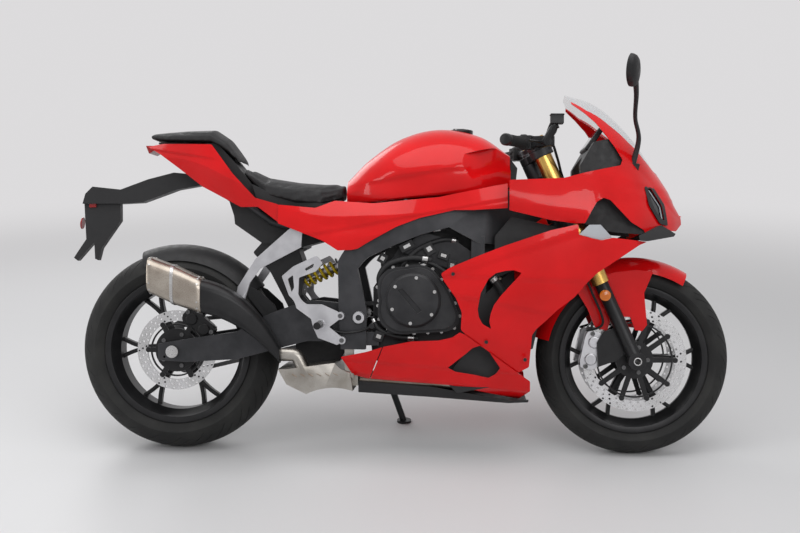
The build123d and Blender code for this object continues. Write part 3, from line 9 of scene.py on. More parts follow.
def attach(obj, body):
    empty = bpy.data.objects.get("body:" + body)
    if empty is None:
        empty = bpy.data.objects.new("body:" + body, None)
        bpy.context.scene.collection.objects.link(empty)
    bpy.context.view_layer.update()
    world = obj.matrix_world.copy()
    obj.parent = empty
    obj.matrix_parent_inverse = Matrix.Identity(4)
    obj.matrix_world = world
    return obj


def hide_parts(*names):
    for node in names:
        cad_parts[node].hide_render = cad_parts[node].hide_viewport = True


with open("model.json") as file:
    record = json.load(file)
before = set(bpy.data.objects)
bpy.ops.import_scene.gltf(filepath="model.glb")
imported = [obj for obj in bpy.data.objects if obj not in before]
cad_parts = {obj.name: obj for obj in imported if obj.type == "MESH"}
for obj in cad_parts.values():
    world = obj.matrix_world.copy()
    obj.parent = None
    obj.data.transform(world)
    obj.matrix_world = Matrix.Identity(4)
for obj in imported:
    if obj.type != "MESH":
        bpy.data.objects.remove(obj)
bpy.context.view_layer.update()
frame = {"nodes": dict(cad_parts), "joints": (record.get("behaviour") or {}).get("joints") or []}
nodes = frame["nodes"]
scene = bpy.context.scene
scene.view_settings.view_transform = "Standard"

# The machine leans on its stand. Pieces are drawn in the upright machine, in millimetres from the ground
# under the rear axle, with x forward, y to the rider's left and z up, and leaned over when they are placed
machine = {"lean": 11.0, "rearAxleHeight": 316.77, "wheelbase": 1430.0, "frontAxleHeight": 301.06,
           "rake": 25.0, "forkOffset": 32.0, "forkSpacing": 214.0}
gridStep = 10.0
perMetre = 0.001
joints = {joint["name"]: joint for joint in frame["joints"]}
leanTurn = Matrix.Rotation(math.radians(-machine["lean"]), 4, "X")
rearAxleSpot = Vector(joints["rear_wheel_spin"]["pos_m"])
axleRise = Vector((0, 0, machine["rearAxleHeight"] * perMetre))
place = Matrix.Translation(rearAxleSpot - leanTurn @ axleRise) @ leanTurn
rearAxle = Vector((0, 0, machine["rearAxleHeight"]))
frontAxle = Vector((machine["wheelbase"], 0, machine["frontAxleHeight"]))
rakeTurn = math.radians(machine["rake"])
steerUp = Vector((-math.sin(rakeTurn), 0, math.cos(rakeTurn)))
steerAhead = Vector((math.cos(rakeTurn), 0, math.sin(rakeTurn)))
steerFoot = frontAxle - steerAhead * machine["forkOffset"]
acrossAxis = Vector((0, 1, 0))
print("frame loaded:", len(nodes), "nodes")


# Materials. A number that is the same all over goes on the shader's own socket

def newMaterial(name, colour, roughness, metallic=0.0):
    material = bpy.data.materials.new(name)
    material.use_nodes = True
    shader = material.node_tree.nodes["Principled BSDF"]
    shader.inputs["Base Color"].default_value = (*colour, 1)
    shader.inputs["Roughness"].default_value = roughness
    shader.inputs["Metallic"].default_value = metallic
    return material, material.node_tree, shader


def addNode(tree, kind, wired=None, values=None, **settings):
    node = tree.nodes.new(kind)
    for key, value in settings.items():
        setattr(node, key, value)
    for key, value in (values or {}).items():
        node.inputs[key].default_value = value
    for key, source in (wired or {}).items():
        tree.links.new(source, node.inputs[key])
    return node


def noise(tree, scale, detail, stretch=(1, 1, 1)):
    source = addNode(tree, "ShaderNodeTexCoord").outputs["Object"]
    mapped = addNode(tree, "ShaderNodeMapping", {"Vector": source}, {"Scale": stretch}).outputs["Vector"]
    return addNode(tree, "ShaderNodeTexNoise", {"Vector": mapped}, {"Scale": scale, "Detail": detail}).outputs["Fac"]


def ramp(tree, factor, low, high, lowValue, highValue):
    return addNode(tree, "ShaderNodeMapRange", {"Value": factor}, {
        "From Min": low, "From Max": high, "To Min": lowValue, "To Max": highValue}).outputs["Result"]


def colourBetween(tree, factor, first, second):
    mix = tree.nodes.new("ShaderNodeMix")
    mix.data_type = "RGBA"
    colours = [socket for socket in mix.inputs if socket.type == "RGBA"]
    colours[0].default_value = (*first, 1)
    colours[1].default_value = (*second, 1)
    tree.links.new(factor, mix.inputs[0])
    return next(socket for socket in mix.outputs if socket.type == "RGBA")


def wornEdges(tree, radius):
    # Light wear where the surface turns sharply
    bevel = addNode(tree, "ShaderNodeBevel", values={"Radius": radius}, samples=4)
    geometry = addNode(tree, "ShaderNodeNewGeometry")
    dot = addNode(tree, "ShaderNodeVectorMath", {0: bevel.outputs["Normal"], 1: geometry.outputs["Normal"]},
                  operation="DOT_PRODUCT")
    return ramp(tree, dot.outputs["Value"], 0.98, 0.8, 0.0, 0.8)


def addBump(tree, shader, height, distance, strength=1.0):
    bump = addNode(tree, "ShaderNodeBump", {"Height": height}, {"Distance": distance, "Strength": strength})
    tree.links.new(bump.outputs["Normal"], shader.inputs["Normal"])


def glossPaint(name, colour, deep):
    material, tree, shader = newMaterial(name, colour, 0.3)
    tree.links.new(colourBetween(tree, ramp(tree, noise(tree, 7, 3), 0.35, 0.65, 0, 1), deep, colour),
                   shader.inputs["Base Color"])
    tree.links.new(ramp(tree, noise(tree, 900, 2), 0.3, 0.7, 0.24, 0.36), shader.inputs["Roughness"])
    shader.inputs["Specular IOR Level"].default_value = 0.08
    shader.inputs["Coat Weight"].default_value = 0.4
    shader.inputs["Coat Roughness"].default_value = 0.05
    return material


def mouldedPlastic(name, colour, worn, roughness=0.5):
    material, tree, shader = newMaterial(name, colour, roughness)
    tree.links.new(colourBetween(tree, noise(tree, 14, 4), colour, worn), shader.inputs["Base Color"])
    tree.links.new(ramp(tree, noise(tree, 60, 3), 0.3, 0.7, roughness - 0.08, roughness + 0.1),
                   shader.inputs["Roughness"])
    addBump(tree, shader, noise(tree, 1100, 2), 0.0002, 0.35)
    shader.inputs["Specular IOR Level"].default_value = 0.28
    return material


def brushedMetal(name, colour, worn, roughness, grain=(1, 1, 1), grainScale=300.0, bump=0.00008):
    material, tree, shader = newMaterial(name, colour, roughness, 1.0)
    brushed = noise(tree, grainScale, 3, grain)
    patches = ramp(tree, noise(tree, 16, 4), 0.35, 0.7, 0, 1)
    tree.links.new(colourBetween(tree, patches, colour, worn), shader.inputs["Base Color"])
    tree.links.new(ramp(tree, brushed, 0.3, 0.7, roughness - 0.08, roughness + 0.12), shader.inputs["Roughness"])
    addBump(tree, shader, brushed, bump, 0.5)
    return material


def castMetal(name, colour, worn, roughness, metallic=0.6, edge=None):
    material, tree, shader = newMaterial(name, colour, roughness, metallic)
    base = colourBetween(tree, ramp(tree, noise(tree, 22, 5), 0.35, 0.65, 0, 1), colour, worn)
    if edge is not None:
        rubbed = colourBetween(tree, wornEdges(tree, 0.0015), colour, edge)
        tree.links.new(base, next(s for s in rubbed.node.inputs if s.type == "RGBA"))
        base = rubbed
    tree.links.new(base, shader.inputs["Base Color"])
    addBump(tree, shader, noise(tree, 650, 3), 0.0003, 0.45)
    shader.inputs["Specular IOR Level"].default_value = 0.3
    return material


def rubber(name, colour, dusty, roughness=0.7):
    material, tree, shader = newMaterial(name, colour, roughness)
    dust = ramp(tree, noise(tree, 12, 5), 0.4, 0.7, 0, 1)
    tree.links.new(colourBetween(tree, dust, colour, dusty), shader.inputs["Base Color"])
    addBump(tree, shader, noise(tree, 900, 2), 0.0003, 0.4)
    shader.inputs["Specular IOR Level"].default_value = 0.25
    return material


def seatLeather(name, colour, worn):
    material, tree, shader = newMaterial(name, colour, 0.55)
    source = addNode(tree, "ShaderNodeTexCoord")
    cells = addNode(tree, "ShaderNodeTexVoronoi", {"Vector": source.outputs["Object"]}, {"Scale": 420},
                    feature="DISTANCE_TO_EDGE")
    tree.links.new(colourBetween(tree, noise(tree, 20, 4), colour, worn), shader.inputs["Base Color"])
    tree.links.new(ramp(tree, noise(tree, 30, 3), 0.3, 0.7, 0.48, 0.66), shader.inputs["Roughness"])
    addBump(tree, shader, ramp(tree, cells.outputs["Distance"], 0, 0.12, 0, 1), 0.0004, 0.4)
    shader.inputs["Specular IOR Level"].default_value = 0.3
    return material


def lampGlass(name, colour, deep, transmission, alpha=1.0):
    material, tree, shader = newMaterial(name, colour, 0.03)
    shader.inputs["Transmission Weight"].default_value = transmission
    shader.inputs["Alpha"].default_value = alpha
    tree.links.new(colourBetween(tree, noise(tree, 30, 2), colour, deep), shader.inputs["Base Color"])
    return material


finish = {
    "redPaint": glossPaint("redPaint", (0.66, 0.004, 0.006), (0.56, 0.003, 0.004)),
    "frameAlloy": castMetal("frameAlloy", (0.035, 0.036, 0.039), (0.05, 0.05, 0.054), 0.42, 0.5, (0.12, 0.12, 0.12)),
    "engineAlloy": castMetal("engineAlloy", (0.022, 0.022, 0.024), (0.034, 0.034, 0.036), 0.42, 0.4,
                             (0.1, 0.1, 0.1)),
    "blackPlastic": mouldedPlastic("blackPlastic", (0.014, 0.014, 0.015), (0.022, 0.022, 0.023)),
    "satinBlack": castMetal("satinBlack", (0.012, 0.012, 0.013), (0.018, 0.018, 0.019), 0.36, 0.25,
                            (0.06, 0.06, 0.06)),
    "silverAlloy": castMetal("silverAlloy", (0.56, 0.56, 0.58), (0.46, 0.46, 0.48), 0.34, 0.9, (0.72, 0.72, 0.73)),
    "palePlastic": mouldedPlastic("palePlastic", (0.44, 0.46, 0.49), (0.38, 0.4, 0.43), 0.38),
    "steel": brushedMetal("steel", (0.52, 0.52, 0.52), (0.42, 0.41, 0.4), 0.3),
    "discSteel": brushedMetal("discSteel", (0.62, 0.62, 0.63), (0.5, 0.5, 0.5), 0.28, (1, 1, 1), 700, 0.00005),
    "darkSteel": brushedMetal("darkSteel", (0.16, 0.16, 0.165), (0.1, 0.1, 0.1), 0.36),
    "exhaustMetal": brushedMetal("exhaustMetal", (0.36, 0.32, 0.28), (0.26, 0.2, 0.15), 0.34, (1, 1, 8)),
    "boxMetal": brushedMetal("boxMetal", (0.42, 0.4, 0.37), (0.28, 0.26, 0.23), 0.34, (1, 6, 12), 260),
    "mufflerMetal": brushedMetal("mufflerMetal", (0.42, 0.38, 0.33), (0.3, 0.26, 0.22), 0.3, (1, 1, 12), 260),
    "springYellow": glossPaint("springYellow", (0.8, 0.58, 0.02), (0.66, 0.46, 0.02)),
    "seatCover": seatLeather("seatCover", (0.013, 0.013, 0.014), (0.022, 0.022, 0.023)),
    "lampRed": lampGlass("lampRed", (0.42, 0.008, 0.008), (0.3, 0.004, 0.004), 0.3),
    "lampClear": lampGlass("lampClear", (0.03, 0.032, 0.036), (0.02, 0.02, 0.024), 0.1),
    "lampAmber": lampGlass("lampAmber", (0.9, 0.24, 0.02), (0.75, 0.18, 0.01), 0.2),
    "screenClear": lampGlass("screenClear", (0.62, 0.67, 0.7), (0.54, 0.58, 0.62), 0.0, 0.14),
    "mirrorGlass": brushedMetal("mirrorGlass", (0.8, 0.81, 0.83), (0.76, 0.77, 0.79), 0.1, (1, 1, 1), 60, 0.00001),
    "forkGold": brushedMetal("forkGold", (0.66, 0.42, 0.12), (0.58, 0.36, 0.1), 0.28, (1, 1, 1), 900, 0.00002),
    "tyreRubber": rubber("tyreRubber", (0.014, 0.014, 0.014), (0.024, 0.024, 0.023), 0.66),
    "gripRubber": rubber("gripRubber", (0.011, 0.011, 0.011), (0.02, 0.02, 0.02), 0.75),
}
nodeFinish = {
    "redPaint": ["fuel_tank", "tail_fairing", "side_fairings", "lower_fairings", "nose_fairing", "side_covers",
                 "front_fender"],
    "frameAlloy": ["main_frame", "swingarm", "subframe", "triple_clamps"],
    "engineAlloy": ["engine_block", "engine_covers"],
    "blackPlastic": ["tank_trim", "undertray", "plate_bracket", "rear_hugger", "cockpit_panel", "winglets",
                     "mirrors", "radiator", "belly_keel", "intake_ducts"],
    "silverAlloy": ["footrest_hangers", "pillion_pegs", "front_calipers"],
    "palePlastic": ["fairing_inserts"],
    "steel": ["rear_axle", "front_axle", "rear_shock"],
    "discSteel": ["front_discs", "rear_disc"],
    "darkSteel": ["rear_sprocket", "drive_chain"],
    "exhaustMetal": ["header_pipes"],
    "boxMetal": ["exhaust_box"],
    "mufflerMetal": ["muffler"],
    "satinBlack": ["muffler_shield", "side_stand", "fork_legs", "rear_caliper", "front_rim", "rear_rim"],
    "springYellow": ["shock_spring"],
    "seatCover": ["rider_seat", "pillion_seat"],
    "lampRed": ["tail_lamp"],
    "lampClear": ["headlamps"],
    "screenClear": ["windscreen"],
    "forkGold": ["fork_tubes"],
    "gripRubber": ["handlebars"],
    "tyreRubber": ["front_tyre", "rear_tyre"],
}
for finishName, names in nodeFinish.items():
    for name in names:
        nodeMesh = nodes[name].data
        nodeMesh.materials.clear()
        nodeMesh.materials.append(finish[finishName])
print("materials made:", len(finish))

# Camera, lamps and floor
view = {"offset": (0.8392, -3.41744, 0.97685), "yaw": 0.041, "pitch": 0.203, "lens": 50.0}
cameraData = bpy.data.cameras.new("camera")
cameraData.lens = view["lens"]
cameraData.sensor_width = 36
camera = bpy.data.objects.new("camera", cameraData)
scene.collection.objects.link(camera)
camera.location = rearAxleSpot + Vector(view["offset"])
camera.rotation_euler = (math.pi / 2 - view["pitch"], 0, view["yaw"])
scene.camera = camera

studio = {"floorSize": 400.0, "paleFloor": (0.62, 0.62, 0.63), "backdrop": (0.72, 0.71, 0.72), "world": 0.42,
          "nearFloor": 1.6, "farFloor": 6.0}
world = bpy.data.worlds.new("studio")
scene.world = world
world.use_nodes = True
worldTree = world.node_tree
background = worldTree.nodes["Background"]
background.inputs["Color"].default_value = (1, 1, 1, 1)
background.inputs["Strength"].default_value = studio["world"]
seenBackground = addNode(worldTree, "ShaderNodeBackground", values={"Color": (*studio["backdrop"], 1)})
lightPath = addNode(worldTree, "ShaderNodeLightPath")
seenRays = lightPath.outputs["Is Camera Ray"]
for ray in ("Is Glossy Ray", "Is Transmission Ray"):
    seenRays = addNode(worldTree, "ShaderNodeMath", {0: seenRays, 1: lightPath.outputs[ray]},
                       operation="MAXIMUM").outputs[0]
chooseWorld = addNode(worldTree, "ShaderNodeMixShader", {0: seenRays, 1: background.outputs[0],
                                                         2: seenBackground.outputs[0]})
worldTree.links.new(chooseWorld.outputs[0], worldTree.nodes["World Output"].inputs["Surface"])
lamps = [
    # name, place, aim, size, size across, watts
    ("softAbove", (0.0, -0.7, 3.2), (0, -0.2, 0.5), 4.0, 2.2, 62),
    ("softFront", (1.6, -3.4, 2.4), (0.1, -0.2, 0.6), 2.4, 1.4, 42),
    ("softBehind", (-2.2, 2.6, 2.2), (0, 0, 0.6), 2.4, 1.6, 34),
    ("stripBack", (-3.0, -2.0, 1.5), (0, -0.2, 0.6), 0.6, 2.2, 20),
]
for name, spot, aim, wide, tall, power in lamps:
    lampData = bpy.data.lights.new(name, "AREA")
    lampData.shape = "RECTANGLE"
    lampData.size = wide
    lampData.size_y = tall
    lampData.energy = power
    lamp = bpy.data.objects.new(name, lampData)
    scene.collection.objects.link(lamp)
    lamp.location = spot
    lamp.rotation_euler = (Vector(aim) - Vector(spot)).to_track_quat("-Z", "Y").to_euler()

floorMesh = bpy.data.meshes.new("floor")
half = studio["floorSize"] / 2
floorMesh.from_pydata([(-half, -half, 0), (half, -half, 0), (half, half, 0), (-half, half, 0)], [], [(0, 1, 2, 3)])
floor = bpy.data.objects.new("floor", floorMesh)
scene.collection.objects.link(floor)
floorMaterial, floorTree, floorShader = newMaterial("paleFloor", studio["paleFloor"], 0.5)
addBump(floorTree, floorShader, noise(floorTree, 30, 3), 0.0002, 0.15)
floorMesh.materials.append(floorMaterial)
# Far off, the floor takes the backdrop's colour, so that no line shows between them
farSource = addNode(floorTree, "ShaderNodeTexCoord")
farLength = addNode(floorTree, "ShaderNodeVectorMath", {0: farSource.outputs["Object"]}, operation="LENGTH")
farShare = ramp(floorTree, farLength.outputs["Value"], studio["nearFloor"], studio["farFloor"], 0, 1)
farShare.node.interpolation_type = "SMOOTHSTEP"
farColour = addNode(floorTree, "ShaderNodeEmission", values={"Color": (*studio["backdrop"], 1)})
farPath = addNode(floorTree, "ShaderNodeLightPath")
farSeen = addNode(floorTree, "ShaderNodeMath", {0: farPath.outputs["Is Camera Ray"],
                                                1: farPath.outputs["Is Glossy Ray"]}, operation="MAXIMUM")
farMix = addNode(floorTree, "ShaderNodeMath", {0: farShare, 1: farSeen.outputs[0]}, operation="MULTIPLY")
farBlend = addNode(floorTree, "ShaderNodeMixShader", {0: farMix.outputs[0], 1: floorShader.outputs[0],
                                                      2: farColour.outputs[0]})
floorTree.links.new(farBlend.outputs[0], floorTree.nodes["Material Output"].inputs["Surface"])
print("studio ready")


# Forms, drawn in millimetres in the upright machine

def onGrid(x, z, y=0.0):
    return Vector((x * gridStep, y * gridStep, z * gridStep))


def forkPoint(along, side=0.0):
    return frontAxle + steerUp * along + Vector((0, side * machine["forkSpacing"] / 2, 0))


def joinRings(form, rings, capped=True, closed=False):
    made = [[form.verts.new(point) for point in ring] for ring in rings]
    pairs = list(zip(made, made[1:])) + ([(made[-1], made[0])] if closed else [])
    for first, second in pairs:
        count = len(first)
        for i in range(count):
            j = (i + 1) % count
            form.faces.new((first[i], first[j], second[j], second[i]))
    if capped and not closed:
        form.faces.new(made[0][::-1])
        form.faces.new(made[-1])


def tubeAlong(form, points, radii, sides=16, flat=1.0, lift=None):
    points = [Vector(point) for point in points]
    radii = radii if isinstance(radii, (list, tuple)) else [radii] * len(points)
    guide = None
    rings = []
    for number, point in enumerate(points):
        before = points[max(number - 1, 0)]
        after = points[min(number + 1, len(points) - 1)]
        along = (after - before).normalized()
        if guide is None:
            guide = Vector(lift) if lift else (Vector((0, 0, 1)) if abs(along.z) < 0.9 else Vector((1, 0, 0)))
        side = along.cross(guide).normalized()
        guide = side.cross(along).normalized()
        ring = []
        for i in range(sides):
            turn = 2 * math.pi * i / sides
            ring.append(point + (side * math.cos(turn) + guide * math.sin(turn) * flat) * radii[number])
        rings.append(ring)
    joinRings(form, rings)


def turnedForm(form, rows, centre, axis, segments=64, closed=True):
    # Rows of radius and place along the axis
    axis = Vector(axis).normalized()
    first = axis.orthogonal().normalized()
    second = axis.cross(first)
    rings = []
    for i in range(segments):
        turn = 2 * math.pi * i / segments
        ray = first * math.cos(turn) + second * math.sin(turn)
        rings.append([Vector(centre) + ray * radius + axis * along for radius, along in rows])
    made = [[form.verts.new(point) for point in ring] for ring in rings]
    count = len(rows)
    for i in range(segments):
        j = (i + 1) % segments
        for k in range(count if closed else count - 1):
            m = (k + 1) % count
            form.faces.new((made[i][k], made[i][m], made[j][m], made[j][k]))
    bmesh.ops.remove_doubles(form, verts=[v for ring in made for v in ring], dist=0.001)


def roundedOutline(points, corner, steps=4):
    rounded = []
    count = len(points)
    for number in range(count):
        here = Vector(points[number])
        before = Vector(points[number - 1])
        after = Vector(points[(number + 1) % count])
        cut = min(corner, (before - here).length * 0.45, (after - here).length * 0.45)
        start = here + (before - here).normalized() * cut
        end = here + (after - here).normalized() * cut
        for i in range(steps + 1):
            t = i / steps
            rounded.append(start * (1 - t) ** 2 + here * 2 * t * (1 - t) + end * t ** 2)
    return rounded


def slab(form, outline, low, high, corner=0.0):
    # An outline of x and z in grid steps, drawn out across the machine
    points = [Vector((x * gridStep, z * gridStep)) for x, z in outline]
    if corner:
        points = roundedOutline(points, corner)
    joinRings(form, [[Vector((p.x, y, p.y)) for p in points] for y in (low, high)])


def block(form, centre, size, turn=None):
    turn = turn or Matrix.Identity(3)
    corners = [(-1, -1), (1, -1), (1, 1), (-1, 1)]
    wide, deep, high = (length / 2 for length in size)
    rings = [[Vector(centre) + turn @ Vector((x * wide, y * deep, z * high)) for x, y in corners] for z in (-1, 1)]
    joinRings(form, rings)


def basis(xAxis, zAxis):
    z = Vector(zAxis).normalized()
    x = (Vector(xAxis) - z * z.dot(Vector(xAxis))).normalized()
    return Matrix((x, z.cross(x), z)).transposed()


def meshOf(form, name="form"):
    bmesh.ops.recalc_face_normals(form, faces=form.faces)
    mesh = bpy.data.meshes.new(name)
    form.to_mesh(mesh)
    form.free()
    return mesh


def tempObject(mesh, name="temporary"):
    thing = bpy.data.objects.new(name, mesh)
    scene.collection.objects.link(thing)
    return thing


def evaluated(thing):
    graph = bpy.context.evaluated_depsgraph_get()
    graph.update()
    mesh = bpy.data.meshes.new_from_object(thing.evaluated_get(graph))
    bpy.data.objects.remove(thing)
    return mesh


def makePiece(name, form, material, body, replaced=(), smooth=35, bevel=0.0, rounds=2, subdivide=0):
    mesh = meshOf(form, name) if isinstance(form, bmesh.types.BMesh) else form
    mesh.name = name
    mesh.transform(place @ Matrix.Scale(perMetre, 4))
    mesh.materials.clear()
    mesh.materials.append(finish[material])
    mesh.polygons.foreach_set("use_smooth", [True] * len(mesh.polygons))
    mesh.set_sharp_from_angle(angle=math.radians(smooth))
    piece = tempObject(mesh, name)
    if bevel:
        edges = piece.modifiers.new("softEdges", "BEVEL")
        edges.width = bevel * perMetre
        edges.segments = rounds
        edges.limit_method = "ANGLE"
        edges.angle_limit = math.radians(smooth)
        edges.harden_normals = True
    if subdivide:
        levels = piece.modifiers.new("smoothForm", "SUBSURF")
        levels.levels = subdivide
        levels.render_levels = subdivide
    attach(piece, body)
    if replaced:
        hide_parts(*replaced)
    return piece


# Node trees for what repeats

def newTree(name, inputs):
    tree = bpy.data.node_groups.new(name, "GeometryNodeTree")
    tree.interface.new_socket("Geometry", in_out="INPUT", socket_type="NodeSocketGeometry")
    for label, kind in inputs:
        tree.interface.new_socket(label, in_out="INPUT", socket_type=kind)
    tree.interface.new_socket("Geometry", in_out="OUTPUT", socket_type="NodeSocketGeometry")
    return tree, tree.nodes.new("NodeGroupInput").outputs, tree.nodes.new("NodeGroupOutput").inputs


def endTree(tree, geometry, finishSocket, output):
    realised = addNode(tree, "GeometryNodeRealizeInstances", {"Geometry": geometry})
    painted = addNode(tree, "GeometryNodeSetMaterial", {"Geometry": realised.outputs[0], "Material": finishSocket})
    tree.links.new(painted.outputs["Geometry"], output["Geometry"])
    return tree


def runTree(tree, mesh, values, name="repeated"):
    thing = tempObject(mesh, name)
    modifier = thing.modifiers.new("repeat", "NODES")
    modifier.node_group = tree
    for item in tree.interface.items_tree:
        if item.in_out == "INPUT" and item.name in values:
            modifier[item.identifier] = values[item.name]
    return evaluated(thing)


def makeRingTree():
    # Turns the form round the y axis, a set number of times
    tree, given, output = newTree("ringOfForms", [("Count", "NodeSocketInt"), ("Weld", "NodeSocketFloat"),
                                                  ("Finish", "NodeSocketMaterial")])
    points = addNode(tree, "GeometryNodePoints", {"Count": given["Count"]})
    index = addNode(tree, "GeometryNodeInputIndex")
    share = addNode(tree, "ShaderNodeMath", {1: given["Count"]}, {0: 2 * math.pi}, operation="DIVIDE")
    angle = addNode(tree, "ShaderNodeMath", {0: index.outputs[0], 1: share.outputs[0]}, operation="MULTIPLY")
    turn = addNode(tree, "ShaderNodeCombineXYZ", {"Y": angle.outputs[0]})
    rotation = addNode(tree, "FunctionNodeEulerToRotation", {0: turn.outputs[0]})
    copies = addNode(tree, "GeometryNodeInstanceOnPoints", {
        "Points": points.outputs[0], "Instance": given["Geometry"], "Rotation": rotation.outputs[0]})
    whole = addNode(tree, "GeometryNodeRealizeInstances", {"Geometry": copies.outputs[0]})
    welded = addNode(tree, "GeometryNodeMergeByDistance", {"Geometry": whole.outputs[0], "Distance": given["Weld"]})
    return endTree(tree, welded.outputs[0], given["Finish"], output)


def makeFastenerTree():
    # A socket-head screw on each point, turned by the point's own attribute
    tree, given, output = newTree("screwHeads", [
        ("Head Radius", "NodeSocketFloat"), ("Head Height", "NodeSocketFloat"), ("Socket Share", "NodeSocketFloat"),
        ("Finish", "NodeSocketMaterial")])
    head = addNode(tree, "GeometryNodeMeshCylinder", {"Radius": given["Head Radius"], "Depth": given["Head Height"]},
                   {"Vertices": 12})
    lip = addNode(tree, "GeometryNodeExtrudeMesh", {"Mesh": head.outputs["Mesh"], "Selection": head.outputs["Top"]},
                  {"Offset Scale": 0})
    narrow = addNode(tree, "GeometryNodeScaleElements", {
        "Geometry": lip.outputs["Mesh"], "Selection": lip.outputs["Top"], "Scale": given["Socket Share"]})
    depth = addNode(tree, "ShaderNodeMath", {0: given["Head Height"]}, {1: -0.6}, operation="MULTIPLY")
    hollow = addNode(tree, "GeometryNodeExtrudeMesh", {
        "Mesh": narrow.outputs["Geometry"], "Selection": lip.outputs["Top"], "Offset Scale": depth.outputs[0]})
    attribute = addNode(tree, "GeometryNodeInputNamedAttribute", values={"Name": "turn"}, data_type="FLOAT_VECTOR")
    rotation = addNode(tree, "FunctionNodeEulerToRotation", {0: attribute.outputs["Attribute"]})
    copies = addNode(tree, "GeometryNodeInstanceOnPoints", {
        "Points": given["Geometry"], "Instance": hollow.outputs["Mesh"], "Rotation": rotation.outputs[0]})
    return endTree(tree, copies.outputs[0], given["Finish"], output)


def makePathTree():
    # A shape set along a line at a fixed pitch, its x axis along the line
    tree, given, output = newTree("shapesAlongPath", [("Shape", "NodeSocketObject"), ("Count", "NodeSocketInt"),
                                                      ("Finish", "NodeSocketMaterial")])
    curve = addNode(tree, "GeometryNodeMeshToCurve", {"Mesh": given["Geometry"]})
    spaced = addNode(tree, "GeometryNodeResampleCurve", {"Curve": curve.outputs[0], "Count": given["Count"]})
    tangent = addNode(tree, "GeometryNodeInputTangent")
    aligned = addNode(tree, "FunctionNodeAlignRotationToVector", {"Vector": tangent.outputs[0]}, axis="X",
                      pivot_axis="Y")
    shape = addNode(tree, "GeometryNodeObjectInfo", {"Object": given["Shape"]})
    copies = addNode(tree, "GeometryNodeInstanceOnPoints", {
        "Points": spaced.outputs[0], "Instance": shape.outputs["Geometry"], "Rotation": aligned.outputs[0]})
    return endTree(tree, copies.outputs[0], given["Finish"], output)


def makeRowTree():
    # The form in a straight row
    tree, given, output = newTree("rowOfForms", [("Count", "NodeSocketInt"), ("Spacing", "NodeSocketVector"),
                                                 ("Finish", "NodeSocketMaterial")])
    line = addNode(tree, "GeometryNodeMeshLine", {"Count": given["Count"], "Offset": given["Spacing"]})
    copies = addNode(tree, "GeometryNodeInstanceOnPoints", {
        "Points": line.outputs[0], "Instance": given["Geometry"]})
    return endTree(tree, copies.outputs[0], given["Finish"], output)


ringTree = makeRingTree()
fastenerTree = makeFastenerTree()
pathTree = makePathTree()
rowTree = makeRowTree()


def ringOf(form, count, material, weld=0.01):
    return runTree(ringTree, meshOf(form), {"Count": count, "Weld": weld, "Finish": finish[material]})


def rowOf(form, count, spacing, material):
    return runTree(rowTree, meshOf(form), {"Count": count, "Spacing": spacing, "Finish": finish[material]})


def screws(name, spots, radius, height, material, body, socketShare=0.55):
    # Spots are a point and the way that the head looks
    points = bpy.data.meshes.new("screwPoints")
    points.from_pydata([tuple(Vector(spot) + Vector(aim).normalized() * height / 2) for spot, aim in spots], [], [])
    turn = points.attributes.new("turn", "FLOAT_VECTOR", "POINT")
    for number, (spot, aim) in enumerate(spots):
        turn.data[number].vector = Vector(aim).to_track_quat("Z", "Y").to_euler()
    heads = runTree(fastenerTree, points, {"Head Radius": radius, "Head Height": height,
                                           "Socket Share": socketShare, "Finish": finish[material]})
    return makePiece(name, heads, material, body, smooth=30)


def addMesh(form, mesh, move=Vector((0, 0, 0))):
    copy = mesh.copy()
    copy.transform(Matrix.Translation(move))
    form.from_mesh(copy)


print("helpers ready")

# Body panels: smooth shells through the same sections and outlines as the solids that they replace

panelForm = {"wall": 4.0, "edge": 1.1, "corner": 4.0}


def sampleSection(rows, perRun):
    points = []
    for (y0, z0, bulge), (y1, z1) in zip(rows, [row[:2] for row in rows[1:]]):
        start = Vector((y0, z0))
        run = Vector((y1 - y0, z1 - z0))
        for i in range(perRun):
            t = i / perRun
            points.append(start + run * t + Vector((run.y, -run.x)) * bulge * 4 * t * (1 - t))
    points.append(Vector(rows[-1][:2]))
    return points


def smoothThrough(places, lines, x):
    # A smooth curve through each row of the sections
    last = len(places) - 1
    k = 0
    while k < last - 1 and x > places[k + 1]:
        k += 1
    span = places[k + 1] - places[k]
    t = (x - places[k]) / span
    weights = (2 * t ** 3 - 3 * t ** 2 + 1, t ** 3 - 2 * t ** 2 + t, 3 * t ** 2 - 2 * t ** 3, t ** 3 - t ** 2)

    def slope(n, i):
        low, high = max(n - 1, 0), min(n + 1, last)
        return (lines[high][i] - lines[low][i]) / (places[high] - places[low]) * span

    return [lines[k][i] * weights[0] + slope(k, i) * weights[1] + lines[k + 1][i] * weights[2]
            + slope(k + 1, i) * weights[3] for i in range(len(lines[k]))]


def gridNormals(grid):
    normals = []
    for i, line in enumerate(grid):
        row = []
        for j in range(len(line)):
            along = grid[min(i + 1, len(grid) - 1)][j] - grid[max(i - 1, 0)][j]
            down = line[min(j + 1, len(line) - 1)] - line[max(j - 1, 0)]
            row.append(down.cross(along).normalized())
        normals.append(row)
    return normals


